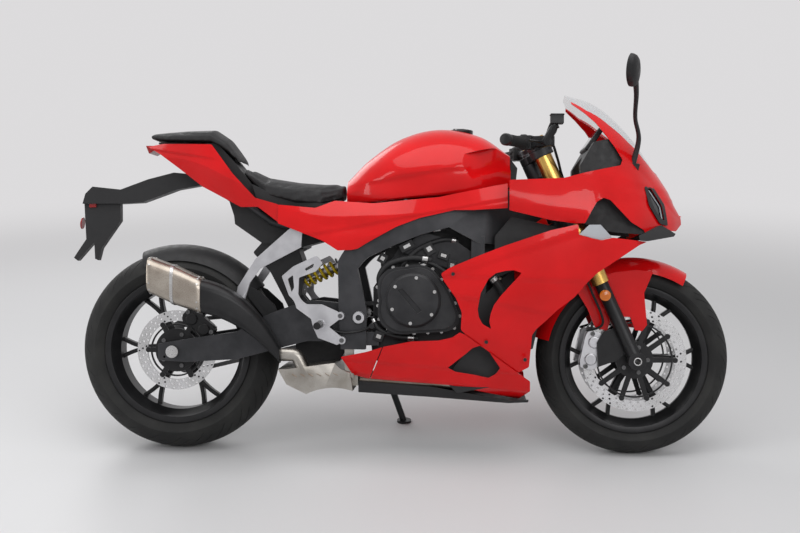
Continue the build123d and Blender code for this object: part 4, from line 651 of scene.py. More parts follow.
def panelShell(sections, stations, perRun, relief=None, wall=None):
    wall = wall or panelForm["wall"]
    places = [x for x, rows in sections]
    lines = [sampleSection(rows, perRun) for x, rows in sections]
    grid = []
    for number in range(stations + 1):
        x = places[0] + (places[-1] - places[0]) * number / stations
        grid.append([onGrid(x, p.y, p.x) for p in smoothThrough(places, lines, x)])
    if relief:
        normals = gridNormals(grid)
        grid = [[p + n * relief(p.x / gridStep, p.z / gridStep) for p, n in zip(line, row)]
                for line, row in zip(grid, normals)]
    normals = gridNormals(grid)
    form = bmesh.new()
    outer = [[form.verts.new(p) for p in line] for line in grid]
    inner = [[form.verts.new(p - n * wall) for p, n in zip(line, row)] for line, row in zip(grid, normals)]
    high, wide = len(grid), len(grid[0])
    for i in range(high - 1):
        for j in range(wide - 1):
            form.faces.new((outer[i][j], outer[i + 1][j], outer[i + 1][j + 1], outer[i][j + 1]))
            form.faces.new((inner[i][j], inner[i][j + 1], inner[i + 1][j + 1], inner[i + 1][j]))
    rim = [(i, 0) for i in range(high)] + [(high - 1, j) for j in range(1, wide)]
    rim += [(i, wide - 1) for i in range(high - 2, -1, -1)] + [(0, j) for j in range(wide - 2, 0, -1)]
    for (a, b), (c, d) in zip(rim, rim[1:] + rim[:1]):
        form.faces.new((outer[a][b], inner[a][b], inner[c][d], outer[c][d]))
    return form


def sideCutter(outline, corner=None, low=-420.0, high=420.0):
    form = bmesh.new()
    slab(form, outline, low, high, panelForm["corner"] if corner is None else corner)
    return form


def planCutter(outline, low, high):
    form = bmesh.new()
    joinRings(form, [[Vector((x * gridStep, y * gridStep, z)) for x, y in outline] for z in (low, high)])
    return form


def trimmed(form, cuts):
    # Cuts are forms, each with INTERSECT, DIFFERENCE or UNION
    thing = tempObject(meshOf(form) if isinstance(form, bmesh.types.BMesh) else form)
    tools = []
    for cutter, operation in cuts:
        tool = tempObject(meshOf(cutter))
        tools.append(tool)
        cut = thing.modifiers.new("trim", "BOOLEAN")
        cut.operation = operation
        cut.solver = "EXACT"
        cut.object = tool
    mesh = evaluated(thing)
    for tool in tools:
        bpy.data.objects.remove(tool)
    return mesh


def onBothSides(mesh):
    form = bmesh.new()
    form.from_mesh(mesh)
    copy = mesh.copy()
    copy.transform(Matrix.Scale(-1, 4, acrossAxis))
    form.from_mesh(copy)
    bmesh.ops.remove_doubles(form, verts=form.verts, dist=0.0005)
    return form


def easeStep(value):
    value = min(max(value, 0.0), 1.0)
    return value * value * (3 - 2 * value)


def besideLine(x, z, start, end):
    # Distance above the line from start to end, in grid steps
    runX, runZ = end[0] - start[0], end[1] - start[1]
    length = math.hypot(runX, runZ)
    return ((z - start[1]) * runX - (x - start[0]) * runZ) / length


def raisedAbove(x, z, start, end, height, width):
    return height * easeStep(besideLine(x, z, start, end) / width + 0.5)


def tuckedBelow(x, z, start, end, slope):
    return -slope * gridStep * max(0.0, -besideLine(x, z, start, end))


flankSections = [
    (50, [(-19, 80, 0.03), (-20.5, 56, 0.05), (-18.6, 33, 0.05), (-10, 15.5, 0)]),
    (72, [(-21.5, 80, 0.03), (-23.5, 56, 0.05), (-20.5, 33, 0.05), (-11, 15.5, 0)]),
    (92, [(-24, 80, 0.03), (-26, 56, 0.05), (-21, 33, 0.05), (-11, 15.5, 0)]),
    (108, [(-25.5, 80, 0.03), (-27.5, 56, 0.05), (-20.5, 33, 0.05), (-9, 15.5, 0)]),
    (124, [(-25.5, 80, 0.03), (-26.5, 56, 0.05), (-18.5, 33, 0.05), (-6, 15.5, 0)]),
    (138, [(-20, 80, 0.03), (-21, 56, 0.05), (-14, 33, 0.05), (-4, 15.5, 0)]),
    (147, [(-14.5, 80, 0.03), (-15.5, 56, 0.05), (-9, 33, 0.05), (-2, 15.5, 0)]),
]
sideFairing = {
    "outline": [(82.9, 56.7), (85.5, 58.5), (93.7, 62), (101.3, 65), (114.9, 69.7), (122.9, 71.5), (123.1, 68.4),
                (126.9, 67.5), (129.9, 66.9), (133.6, 67.7), (144.6, 66.6), (142.1, 65.6), (136.8, 62.3),
                (128.9, 57.3), (126.3, 54.9), (122.1, 50), (117.3, 46.3), (114.3, 43.2), (111.2, 40.3),
                (110.1, 38.6), (109.6, 28.5), (106.4, 26.7), (90.4, 38.4), (88.9, 40), (89.1, 45.2),
                (87.4, 49.3), (83.6, 54.7)],
    "vent": [(106.5, 57.1), (104.2, 57.9), (101.9, 57.7), (99, 57), (96.9, 55.3), (94.6, 51), (93.8, 46.2),
             (94.2, 43.8), (95.3, 41.8), (97.9, 40.3), (97.3, 42.4), (97.6, 44.7), (98.6, 47.6), (100.5, 50.3)],
    "creases": [((98, 55.5), (130, 54.2), 4.0, 1.4), ((92, 49), (130, 42), 4.5, 1.6),
                ((84, 55.6), (122, 68.6), 3.5, 1.0)],
}


def flankRelief(x, z):
    rise = 0.0
    for start, end, height, width in sideFairing["creases"]:
        rise += raisedAbove(x, z, start, end, height, width)
    return rise - 6.0


fairingMesh = trimmed(panelShell(flankSections, 90, 30, flankRelief),
                      [(sideCutter(sideFairing["outline"]), "INTERSECT"),
                       (sideCutter(sideFairing["vent"]), "DIFFERENCE")])
makePiece("side_fairing_shells", onBothSides(fairingMesh), "redPaint", "chassis",
          ["side_fairings"], bevel=panelForm["edge"])

lowerFairing = {
    "outline": [(60.5, 32.7), (65.7, 34.4), (74.1, 36.2), (82.3, 36.6), (86.4, 37.6), (88.6, 39.2),
                (90.38, 38.376), (110.2, 23.88), (110.4, 20.6), (107.2, 17.6), (86.1, 22.5), (60.3, 24.2),
                (56.2, 25.4), (52.6, 31)],
    "duct": [(85.1, 28.2), (87.4, 26.9), (93.1, 26), (97.5, 25), (99.6, 26.3), (100.9, 28.2), (97.4, 33.4),
             (94.6, 35.2), (92.4, 34.4), (90.8, 32.9)],
    "seam": [(66.0, 36), (66.3, 36), (60.6, 22), (60.3, 22)],
    "standBay": [(50, 10), (67.5, 10), (66.5, 40), (50, 40)],
}


def lowerRelief(x, z):
    return raisedAbove(x, z, (60, 29.5), (110, 26), 4.5, 1.2) + tuckedBelow(x, z, (56, 26), (108, 20.5), 0.5) - 4.5


lowerForm = panelShell(flankSections, 90, 30, lowerRelief)
lowerMesh = trimmed(lowerForm, [(sideCutter(lowerFairing["outline"]), "INTERSECT"),
                                (sideCutter(lowerFairing["duct"]), "DIFFERENCE"),
                                (sideCutter(lowerFairing["seam"], 0), "DIFFERENCE")])
lowerLeft = bmesh.new()
lowerLeft.from_mesh(lowerMesh)
bmesh.ops.scale(lowerLeft, vec=(1, -1, 1), verts=lowerLeft.verts)
lowerLeftMesh = trimmed(lowerLeft, [(sideCutter(lowerFairing["standBay"], 0, 0, 420), "DIFFERENCE")])
lowerBoth = bmesh.new()
lowerBoth.from_mesh(lowerMesh)
lowerBoth.from_mesh(lowerLeftMesh)
makePiece("lower_fairing_shells", lowerBoth, "redPaint", "chassis", ["lower_fairings"],
          bevel=panelForm["edge"])

sideCover = {
    "sections": [
        (32, [(-14.2, 86, 0), (-15.6, 77, 0.03), (-15.4, 66, 0)]),
        (45, [(-13.0, 80, 0), (-16.5, 74, 0.03), (-18.2, 62, 0)]),
        (60, [(-14.2, 79, 0), (-18.6, 74, 0.03), (-19.8, 62, 0)]),
        (80, [(-19.4, 80, 0), (-20.6, 75, 0.03), (-20.8, 66, 0)]),
        (104, [(-19.5, 84, 0), (-22.5, 78, 0.03), (-23, 68, 0)]),
    ],
    "outline": [(32.83, 77.2), (44.2, 76.3), (50, 78.6), (62, 77.8), (82, 79.6), (102.6, 83.9), (102.6, 76.3),
                (92, 75.7), (86.8, 75.7), (76.4, 73.3), (69.3, 70.6), (60.8, 65.9), (57.6, 63.9), (55.7, 63.5),
                (51.5, 63.3), (46.8, 66.2), (32.83, 71.5)],
}


def coverRelief(x, z):
    hollow = 7.0 * math.exp(-((x - 54) / 9) ** 2 - ((z - 71) / 2.6) ** 2)
    return (raisedAbove(x, z, (62, 71.6), (104, 79.4), 4.0, 1.0) - 4.0 - hollow
            + tuckedBelow(x, z, (52, 65.5), (104, 78), 0.35) * easeStep((x - 56) / 8))


coverMesh = trimmed(panelShell(sideCover["sections"], 90, 26, coverRelief),
                    [(sideCutter(sideCover["outline"], 3), "INTERSECT")])
makePiece("side_cover_shells", onBothSides(coverMesh), "redPaint", "chassis",
          ["side_covers"], bevel=panelForm["edge"])

tailPanel = {
    "sections": [
        (-12, [(-5.68, 99, 0), (-5.68, 93, 0), (-4.2, 86, 0)]),
        (4, [(-10, 99, 0), (-9.5, 91, 0), (-7, 84, 0)]),
        (20, [(-12.5, 92, 0), (-13, 84, 0), (-10.5, 74, 0)]),
        (34, [(-15, 84, 0), (-16, 77, 0), (-14.5, 66, 0)]),
    ],
    "outline": [(-10, 95.6), (-4.7, 96.4), (11.2, 96), (17.9, 87.1), (25.3, 79.4), (32.8, 77.3), (32.8, 71.8),
                (26.2, 76.6), (20.5, 76.6), (7.7, 83.1), (0.3, 88.7), (-5.6, 93)],
}


def tailRelief(x, z):
    return raisedAbove(x, z, (-8, 94.6), (12, 91.5), 4.0, 0.9) * easeStep((14 - x) / 6) - 2.0


tailMesh = trimmed(panelShell(tailPanel["sections"], 70, 26, tailRelief),
                   [(sideCutter(tailPanel["outline"], 3), "INTERSECT")])
makePiece("tail_shells", onBothSides(tailMesh), "redPaint", "chassis", ["tail_fairing"],
          bevel=panelForm["edge"])
print("side panels made")

cowl = {
    "sections": [
        # x, low half width, low z, middle half width, middle z, top z
        (100, 25.6, 70, 20, 98, 114), (112, 26.4, 69.5, 18.4, 100, 115), (122, 26.4, 69, 17.5, 100, 113),
        (132, 25, 67.5, 17.3, 93.5, 109.3), (142, 20.5, 66.5, 13, 89, 100), (150, 13.5, 67.5, 8.5, 81, 88.5),
        (155, 7.5, 69.5, 5, 76, 80.8), (158.4, 1.6, 72.3, 1.1, 73.6, 74.8),
    ],
    "outline": [(102.9, 84.6), (119, 85.3), (125.7, 87.1), (136.6, 89.6), (137.4, 91.4), (134.9, 95.5),
                (132.4, 98.9), (129.5, 102.8), (126, 106.2), (122.6, 109), (122.2, 118), (140, 118), (149, 100),
                (160, 80), (160, 70), (149.2, 70.2), (144.6, 67.6), (143.5, 70.1), (139.3, 72.4), (135.8, 75.9),
                (132.8, 78.9), (130.7, 79.5), (128.7, 78.3), (126.9, 75.3), (125.2, 71.9), (122.2, 71.8),
                (114.9, 72.8), (102.9, 75.6)],
    "screen": [(121.4, 4.5), (122.6, 7.6), (127, 9.8), (134, 10.3), (140, 9.4), (145, 7.6), (148.5, 5),
               (150.2, 2)],
    "lamp": [(145.1, 83.1), (146.9, 83.4), (150.6, 78), (151.3, 72.8), (149.5, 73.4), (147, 77.3)],
    "lowBulge": 0.06, "topBulge": 0.12, "screenFloor": 800.0, "ceiling": 1430.0,
}
cowlSections = []
for x, lowHalf, low, middleHalf, middle, top in cowl["sections"]:
    lowBulge, topBulge = cowl["lowBulge"], cowl["topBulge"]
    cowlSections.append((x, [(lowHalf, low, lowBulge), (middleHalf, middle, topBulge), (0, top, topBulge),
                             (-middleHalf, middle, lowBulge), (-lowHalf, low, 0)]))


def cowlRelief(x, z):
    return (tuckedBelow(x, z, (102, 78), (126, 75.5), 0.35) * easeStep((128 - x) / 3)
            + raisedAbove(x, z, (118, 80.2), (150, 79.6), 3.0, 1.0) * easeStep((x - 118) / 8)
            + raisedAbove(x, z, (126, 86), (152, 82), 2.5, 1.0) * easeStep((x - 124) / 8) - 4.0)


def screenOutline(gap):
    near = [(x, half + gap / gridStep) for x, half in cowl["screen"]]
    return near + [(x, -half) for x, half in near[::-1]]


noseMesh = trimmed(panelShell(cowlSections, 100, 22, cowlRelief), [
    (sideCutter(cowl["outline"], 3), "INTERSECT"),
    (planCutter(screenOutline(0.3), cowl["screenFloor"], cowl["ceiling"]), "DIFFERENCE"),
    (sideCutter(cowl["lamp"], 6), "DIFFERENCE")])
makePiece("nose_shell", noseMesh, "redPaint", "chassis", ["nose_fairing"],
          bevel=panelForm["edge"])
screenMesh = trimmed(panelShell(cowlSections, 100, 22, lambda x, z: -1.0, 3.0), [
    (planCutter(screenOutline(0), cowl["screenFloor"], cowl["ceiling"]), "INTERSECT")])
makePiece("clear_screen", screenMesh, "screenClear", "chassis", ["windscreen"],
          bevel=0.6)
print("nose and screen made")

# The tank, with a hollow for the knee and a crease along its shoulder
tank = {
    "sections": [
        # x, bottom z, bottom half width, widest z, widest half width, top z
        (53.3, 78, 7.5, 81, 8.5, 85.2), (60, 78, 12, 84, 13.5, 92.0), (70, 79, 16.5, 87.5, 17.5, 98.8),
        (82, 80, 18.5, 89, 19.5, 101.8), (95, 81, 16.5, 89, 17.2, 99.4), (104, 83, 10.5, 88, 10.5, 93.5),
    ],
    "lowBulge": 0.05, "topBulge": 0.17, "stations": 70, "perRun": 14, "soften": 2,
    "crease": ((56, 83.4), (103, 91), 5.0, 1.2), "knee": (66, 84.5, 9, 3.2, 9.0),
    "roomTurn": 48, "roomHalf": 40.5, "roomUp": (728.3, 769.3), "roomOut": (66, 365),
}


def tankRow(x, low, lowHalf, wide, wideHalf, top):
    lower, upper = tank["lowBulge"], tank["topBulge"]
    return [(lowHalf, low, lower), (wideHalf, wide, upper), (0, top, upper), (-wideHalf, wide, lower),
            (-lowHalf, low, 0), (0, low, 0), (lowHalf, low, 0)]


def tankForm():
    places = [row[0] for row in tank["sections"]]
    lines = [sampleSection(tankRow(*row), tank["perRun"]) for row in tank["sections"]]
    rings = []
    for number in range(tank["stations"] + 1):
        x = places[0] + (places[-1] - places[0]) * number / tank["stations"]
        ring = smoothThrough(places, lines, x)[:-1]
        for unusedPass in range(tank["soften"]):
            count = len(ring)
            ring = [ring[i] * 0.5 + (ring[i - 1] + ring[(i + 1) % count]) * 0.25 for i in range(count)]
        shaped = []
        kneeX, kneeZ, kneeLong, kneeHigh, kneeDeep = tank["knee"]
        for point in ring:
            side = easeStep(abs(point.x) / 8 - 0.6)
            inward = kneeDeep * math.exp(-((x - kneeX) / kneeLong) ** 2 - ((point.y - kneeZ) / kneeHigh) ** 2)
            start, end, height, width = tank["crease"]
            inward += height * (1 - easeStep(besideLine(x, point.y, start, end) / width + 0.5))
            across = point.x - math.copysign(inward * side / gridStep, point.x)
            shaped.append(onGrid(x, point.y, across))
        rings.append(shaped)
    form = bmesh.new()
    joinRings(form, rings)
    return form


def barRoomForm(side):
    # The room that the bars sweep, turned about the steering's axis
    rows = [(out, up + raised) for (out, up), raised in
            zip([(tank["roomOut"][0], tank["roomUp"][0]), (tank["roomOut"][1], tank["roomUp"][1]),
                 (tank["roomOut"][1], tank["roomUp"][1]), (tank["roomOut"][0], tank["roomUp"][0])],
                [-tank["roomHalf"], -tank["roomHalf"], tank["roomHalf"], tank["roomHalf"]])]
    rings = []
    for i in range(9):
        turn = Matrix.Rotation(side * math.radians(tank["roomTurn"] * i / 8), 3, steerUp)
        rings.append([steerFoot + steerUp * up + turn @ Vector((0, side * out, 0)) for out, up in rows])
    form = bmesh.new()
    joinRings(form, rings)
    return form


tankMesh = trimmed(tankForm(), [(barRoomForm(1), "DIFFERENCE"), (barRoomForm(-1), "DIFFERENCE")])
makePiece("tank_shell", tankMesh, "redPaint", "chassis", ["fuel_tank"], smooth=30,
          bevel=1.5)
capSpot = Vector((880, 0, 1009))
capLean = Vector((-0.06, 0, 1))
capForm = bmesh.new()
turnedForm(capForm, [(0, -14), (44, -14), (46, 3), (44, 6), (36, 6.5), (34, 9), (22, 9.5), (20, 11), (0, 11)],
           capSpot, capLean, 48, closed=False)
block(capForm, capSpot + Vector((0, 0, 11)), (34, 12, 5))
makePiece("filler_cap", capForm, "satinBlack", "chassis", smooth=30, bevel=0.8)
capScrews = []
for i in range(7):
    turn = 2 * math.pi * i / 7
    capScrews.append((capSpot + Vector((math.cos(turn) * 40, math.sin(turn) * 40, 6.0)), capLean))
screws("filler_screws", capScrews, 3.2, 2.4, "steel", "chassis")
print("tank made")

# Wheels

rimSeat = 215.9
tyres = {
    "front_tyre_tread": {"node": "front_tyre", "body": "front_wheel", "centre": frontAxle, "radius": 299.9,
                         "width": 119.4, "crown": 62, "bead": 44.2, "pitches": 26},
    "rear_tyre_tread": {"node": "rear_tyre", "body": "rear_wheel", "centre": rearAxle, "radius": 314.9,
                        "width": 179.4, "crown": 100, "bead": 69.7, "pitches": 24},
}
tread = {"grooveWidth": 5.0, "grooveDepth": 4.0, "slant": 1.9, "power": 1.35, "rows": 44,
         "long": (0.1, 0.78), "short": (0.45, 0.92), "wallBow": 6.0, "ribs": ((0.22, 0.9), (0.78, 1.2))}


def treadSector(size):
    radius, half, crown = size["radius"], size["width"] / 2, size["crown"]
    shoulder = radius - crown + math.sqrt(crown ** 2 - half ** 2)
    clear = rimSeat + 14.3
    pitch = 2 * math.pi / size["pitches"]
    groove = tread["grooveWidth"] / radius
    edges = [0, 0.12, 0.88, 1]
    columns = [(e * groove, e in (0.12, 0.88), 0) for e in edges]
    columns += [((groove + pitch / 2) / 2, False, None)]
    columns += [(pitch / 2 + e * groove, e in (0.12, 0.88), 1) for e in edges]
    columns += [((groove + pitch * 1.5) / 2, False, None), (pitch, False, None)]
    rows = []
    wallSteps = 9
    for i in range(wallSteps + 1):
        t = i / wallSteps
        bow = tread["wallBow"] * math.sin(math.pi * t) + sum(
            rise * math.exp(-((t - spot) / 0.035) ** 2) for spot, rise in tread["ribs"])
        rows.append((clear + (shoulder - clear) * t, -(size["bead"] + (half - size["bead"]) * t + bow * 0.35), None))
    for i in range(1, tread["rows"]):
        share = -1 + 2 * i / tread["rows"]
        across = half * share
        rows.append((radius - crown + math.sqrt(crown ** 2 - across ** 2), across, share))
    rows += [(row[0], -row[1], None) for row in rows[:wallSteps + 1][::-1]]
    rows += [(rimSeat + 0.4, size["bead"], None), (rimSeat + 0.4, -size["bead"], None)]
    form = bmesh.new()
    lines = []
    for angle, deep, kind in columns:
        line = []
        for r, y, share in rows:
            sweep = angle
            depth = 0.0
            if share is not None:
                far = abs(share)
                sweep += tread["slant"] * pitch * (0.25 + 0.75 * far) ** tread["power"]
                if deep:
                    left = share > 0
                    low, high = tread["long"] if (kind == 0) != left else tread["short"]
                    depth = tread["grooveDepth"] * easeStep((far - low) / 0.05) * easeStep((high - far) / 0.08)
            else:
                sweep += tread["slant"] * pitch
            line.append(form.verts.new(((r - depth) * math.cos(sweep), y, (r - depth) * math.sin(sweep))))
        lines.append(line)
    for first, second in zip(lines, lines[1:]):
        for k in range(len(rows)):
            m = (k + 1) % len(rows)
            form.faces.new((first[k], second[k], second[m], first[m]))
    return form


for pieceName, size in tyres.items():
    tyreMesh = ringOf(treadSector(size), size["pitches"], "tyreRubber", 0.05)
    tyreMesh.transform(Matrix.Translation(size["centre"]))
    tyreForm = bmesh.new()
    tyreForm.from_mesh(tyreMesh)
    makePiece(pieceName, tyreForm, "tyreRubber", size["body"], [size["node"]], smooth=32)
print("tyres made")

rims = {
    "front_wheel_casting": {"node": "front_rim", "body": "front_wheel", "centre": frontAxle, "half": 44.5,
                            "hub": 32, "hubHalf": 65, "spokeDeep": 34},
    "rear_wheel_casting": {"node": "rear_rim", "body": "rear_wheel", "centre": rearAxle, "half": 70,
                           "hub": 52, "hubHalf": 75, "spokeDeep": 40},
}
spoke = {"count": 6, "forkAt": 132, "stem": (25, 17), "leg": (12.5, 10.5), "spread": 8.6, "foot": 196}


def beamBetween(form, start, end, startSize, endSize, steps=5, bow=0.0):
    # A beam in the wheel's plane with chamfered corners; sizes are wide and deep
    run = Vector(end) - Vector(start)
    along = run.normalized()
    side = along.cross(acrossAxis)
    rings = []
    for i in range(steps + 1):
        t = i / steps
        wide = (startSize[0] + (endSize[0] - startSize[0]) * t) / 2
        deep = (startSize[1] + (endSize[1] - startSize[1]) * t) / 2
        cut = min(wide, deep) * 0.45
        centre = Vector(start) + run * t + side * bow * math.sin(math.pi * t)
        corners = [(-wide, deep - cut), (-wide + cut, deep), (wide - cut, deep), (wide, deep - cut),
                   (wide, cut - deep), (wide - cut, -deep), (cut - wide, -deep), (-wide, cut - deep)]
        rings.append([centre + side * a + acrossAxis * b for a, b in corners])
    joinRings(form, rings)


for pieceName, size in rims.items():
    spokeForm = bmesh.new()
    deep = size["spokeDeep"]
    beamBetween(spokeForm, (size["hub"] - 6, 0, 0), (spoke["forkAt"] + 3, 0, 0), (spoke["stem"][0] + 4, deep),
                (spoke["stem"][1], deep - 6), 6)
    for side in (-1, 1):
        turn = math.radians(spoke["spread"]) * side
        foot = (spoke["foot"] * math.cos(turn), 0, spoke["foot"] * math.sin(turn))
        beamBetween(spokeForm, (spoke["forkAt"] - 7, 0, side * 2.2), foot, (spoke["leg"][0], deep - 7),
                    (spoke["leg"][1] + 2, deep - 12), 6, -2.5 * side)
    wheelForm = bmesh.new()
    wheelForm.from_mesh(ringOf(spokeForm, spoke["count"], "satinBlack", 0.0))
    half = size["half"]
    lip = half + 5
    rows = [(230, lip), (231.5, lip - 2), (230, half), (216.4, half), (215.9, half - 20), (199, half - 37),
            (199, 37 - half), (215.9, 20 - half), (216.4, -half), (230, -half), (231.5, 2 - lip), (230, -lip),
            (224, -lip - 0.6), (212, -lip + 3), (206, 17 - half), (191.5, 38 - half), (191.5, half - 38),
            (206, half - 17), (212, lip - 3), (224, lip + 0.6)]
    turnedForm(wheelForm, rows, (0, 0, 0), acrossAxis, 96)
    hub, reach = size["hub"], size["hubHalf"] - 0.4
    turnedForm(wheelForm, [(13, -reach), (hub - 3, -reach), (hub, -reach + 3), (hub, -reach + 14),
                           (hub - 7, -reach + 22), (hub - 7, reach - 22), (hub, reach - 14), (hub, reach - 3),
                           (hub - 3, reach), (13, reach)], (0, 0, 0), acrossAxis, 48)
    bmesh.ops.translate(wheelForm, vec=size["centre"], verts=wheelForm.verts)
    makePiece(pieceName, wheelForm, "satinBlack", size["body"], [size["node"]], smooth=28,
              bevel=1.2)
    valve = bmesh.new()
    valveAt = size["centre"] + Vector((math.cos(2.2), 0, math.sin(2.2))) * 190
    tubeAlong(valve, [valveAt, valveAt - (valveAt - size["centre"]).normalized() * 22 + Vector((0, -12, 0))],
              [4, 3], 10)
    makePiece(pieceName.replace("casting", "valve"), valve, "darkSteel", size["body"])
print("rims made")

discs = {
    "front_brake_rings": {"node": "front_discs", "body": "front_wheel", "centre": frontAxle, "radius": 160,
                          "inner": 127, "sides": (-68, 68), "sectors": 36, "arms": 10, "carrier": 118,
                          "bolts": 5, "boltRing": 48, "hub": 58},
    "rear_brake_ring": {"node": "rear_disc", "body": "rear_wheel", "centre": rearAxle, "radius": 125,
                        "inner": 92, "sides": (-78,), "sectors": 30, "arms": 6, "carrier": 90,
                        "bolts": 5, "boltRing": 60, "hub": 68},
}
perforation = {"thick": 5.0, "hole": 3.6, "rows": 3}


def perforatedSector(size):
    # A slice of the ring with a staggered hole in each cell
    turn = 2 * math.pi / size["sectors"]
    band = (size["radius"] - size["inner"]) / perforation["rows"]
    form = bmesh.new()
    halfThick = perforation["thick"] / 2
    for row in range(perforation["rows"]):
        low = size["inner"] + band * row
        slip = turn * 0.33 * row
        corners = []
        for share in (0, 0.5, 1):
            corners.append((low + band * share, 0.0))
        corners += [(low + band, turn * 0.5), (low + band, turn), (low + band / 2, turn), (low, turn),
                    (low, turn * 0.5)]
        middle = (low + band / 2, turn / 2)
        outer = [Vector((r * math.cos(a + slip), 0, r * math.sin(a + slip))) for r, a in corners]
        centre = Vector((middle[0] * math.cos(middle[1] + slip), 0, middle[0] * math.sin(middle[1] + slip)))
        hole = [centre + (point - centre).normalized() * perforation["hole"] for point in outer]
        loops = []
        for loop, y in ((outer, halfThick), (hole, halfThick), (hole, -halfThick), (outer, -halfThick)):
            loops.append([form.verts.new(point + acrossAxis * y) for point in loop])
        for first, second in zip(loops, loops[1:]):
            for k in range(8):
                m = (k + 1) % 8
                form.faces.new((first[k], first[m], second[m], second[k]))
        if row in (0, perforation["rows"] - 1):
            ends = (6, 7, 0) if row == 0 else (2, 3, 4)
            for k, m in zip(ends, ends[1:]):
                form.faces.new((loops[0][k], loops[3][k], loops[3][m], loops[0][m]))
    return form


for pieceName, size in discs.items():
    ringMesh = ringOf(perforatedSector(size), size["sectors"], "discSteel", 0.02)
    rings, carriers = bmesh.new(), bmesh.new()
    armForm = bmesh.new()
    beamBetween(armForm, (size["hub"] - 8, 0, 0), (size["carrier"] + 6, 0, 0), (17, 6), (15, 5.5), 2)
    turnedForm(armForm, [(0.1, -4.5), (8.5, -4.5), (8.5, 4.5), (0.1, 4.5)], (size["inner"] - 2, 0, 0),
               acrossAxis, 12, closed=False)
    armMesh = ringOf(armForm, size["arms"], "satinBlack", 0.0)
    boltSpots = []
    for offset in size["sides"]:
        move = size["centre"] + acrossAxis * offset
        addMesh(rings, ringMesh, move)
        addMesh(carriers, armMesh, move)
        outward = math.copysign(1, offset)
        turnedForm(carriers, [(14, -3), (size["hub"], -3), (size["hub"], 3), (14, 3)], move, acrossAxis, 48)
        turnedForm(carriers, [(size["inner"] - 14, -2.6), (size["inner"] - 9, -2.6), (size["inner"] - 9, 2.6),
                              (size["inner"] - 14, 2.6)], move, acrossAxis, 72)
        for i in range(size["bolts"]):
            turn = 2 * math.pi * i / size["bolts"]
            spot = move + Vector((math.cos(turn), 0, math.sin(turn))) * size["boltRing"] * 0.85
            boltSpots.append((spot + acrossAxis * outward * 3, acrossAxis * outward))
    makePiece(pieceName, rings, "discSteel", size["body"], [size["node"]], smooth=30)
    makePiece(pieceName + "_carriers", carriers, "satinBlack", size["body"], smooth=30)
    screws(pieceName + "_screws", boltSpots, 6.5, 4.5, "darkSteel", size["body"])
print("discs made")

sprocketForm = {"teeth": 42, "radius": 84, "at": 101.6, "thick": 7}
toothForm = bmesh.new()
toothTurn = math.pi / sprocketForm["teeth"]
toothRoot, toothTip = sprocketForm["radius"] - 6, sprocketForm["radius"] + 2.0
toothPoints = [(toothRoot, -toothTurn), (toothRoot + 2, -toothTurn * 0.5), (toothTip, -toothTurn * 0.2),
               (toothTip, toothTurn * 0.2), (toothRoot + 2, toothTurn * 0.5), (toothRoot, toothTurn),
               (62, toothTurn), (62, -toothTurn)]
joinRings(toothForm, [[Vector((r * math.cos(a), y, r * math.sin(a))) for r, a in toothPoints] for y in (-3, 3)])
sprocketPiece = bmesh.new()
addMesh(sprocketPiece, ringOf(toothForm, sprocketForm["teeth"], "darkSteel", 0.0),
        rearAxle + acrossAxis * sprocketForm["at"])
sprocketArm = bmesh.new()
beamBetween(sprocketArm, (40, 0, 0), (66, 0, 0), (20, 5), (24, 5), 2)
addMesh(sprocketPiece, ringOf(sprocketArm, 6, "darkSteel", 0.0), rearAxle + acrossAxis * sprocketForm["at"])
turnedForm(sprocketPiece, [(14, 76), (51, 76), (51, 99), (44, 104), (14, 104)], rearAxle, acrossAxis, 48)
makePiece("sprocket_teeth", sprocketPiece, "darkSteel", "rear_wheel", ["rear_sprocket"], smooth=30)

# Drive chain: links set along the loop round both sprockets
chain = {"pitch": 31.75, "rear": 84.0, "front": 38.0, "frontAt": onGrid(66.5, 43), "across": 101.6}
linkForm = bmesh.new()
for start, reach in ((-0.25, 5.6), (0.25, 4.2)):
    for side in (-1, 1):
        middle = start * chain["pitch"]
        points = []
        for i in range(14):
            turn = 2 * math.pi * i / 14
            end = 7.6 if abs(math.cos(turn)) > 0.01 and math.cos(turn) > 0 else -7.6
            points.append(Vector((middle + end + math.cos(turn) * 6.3, 0, math.sin(turn) * 6.6)))
        low, high = sorted((side * reach, side * (reach + 1.9)))
        joinRings(linkForm, [[p + acrossAxis * y for p in points] for y in (low, high)])
    turnedForm(linkForm, [(0.1, -7.4), (4.6, -7.4), (4.6, 7.4), (0.1, 7.4)],
               (start * chain["pitch"] - 7.9, 0, 0), acrossAxis, 10, closed=False)
linkShape = tempObject(meshOf(linkForm), "linkShape")
line = chain["frontAt"] - rearAxle
drop = math.asin((chain["rear"] - chain["front"]) / line.length)
tilt = math.atan2(line.z, line.x)
loop = []
for i in range(41):
    turn = tilt + math.pi / 2 - drop + (math.pi + 2 * drop) * i / 40
    loop.append(rearAxle + Vector((math.cos(turn), 0, math.sin(turn))) * chain["rear"])
for i in range(25):
    turn = tilt - math.pi / 2 + drop + (math.pi - 2 * drop) * i / 24
    loop.append(chain["frontAt"] + Vector((math.cos(turn), 0, math.sin(turn))) * chain["front"])
loop = [point + acrossAxis * chain["across"] for point in loop]
loopLength = sum((b - a).length for a, b in zip(loop, loop[1:] + loop[:1]))
loopMesh = bpy.data.meshes.new("chainLine")
loopMesh.from_pydata([tuple(p) for p in loop], [(i, (i + 1) % len(loop)) for i in range(len(loop))], [])
chainMesh = runTree(pathTree, loopMesh, {"Shape": linkShape, "Count": round(loopLength / chain["pitch"]),
                                         "Finish": finish["darkSteel"]})
bpy.data.objects.remove(linkShape)
makePiece("chain_links", chainMesh, "darkSteel", "chassis", ["drive_chain"], smooth=30)
print("chain made")
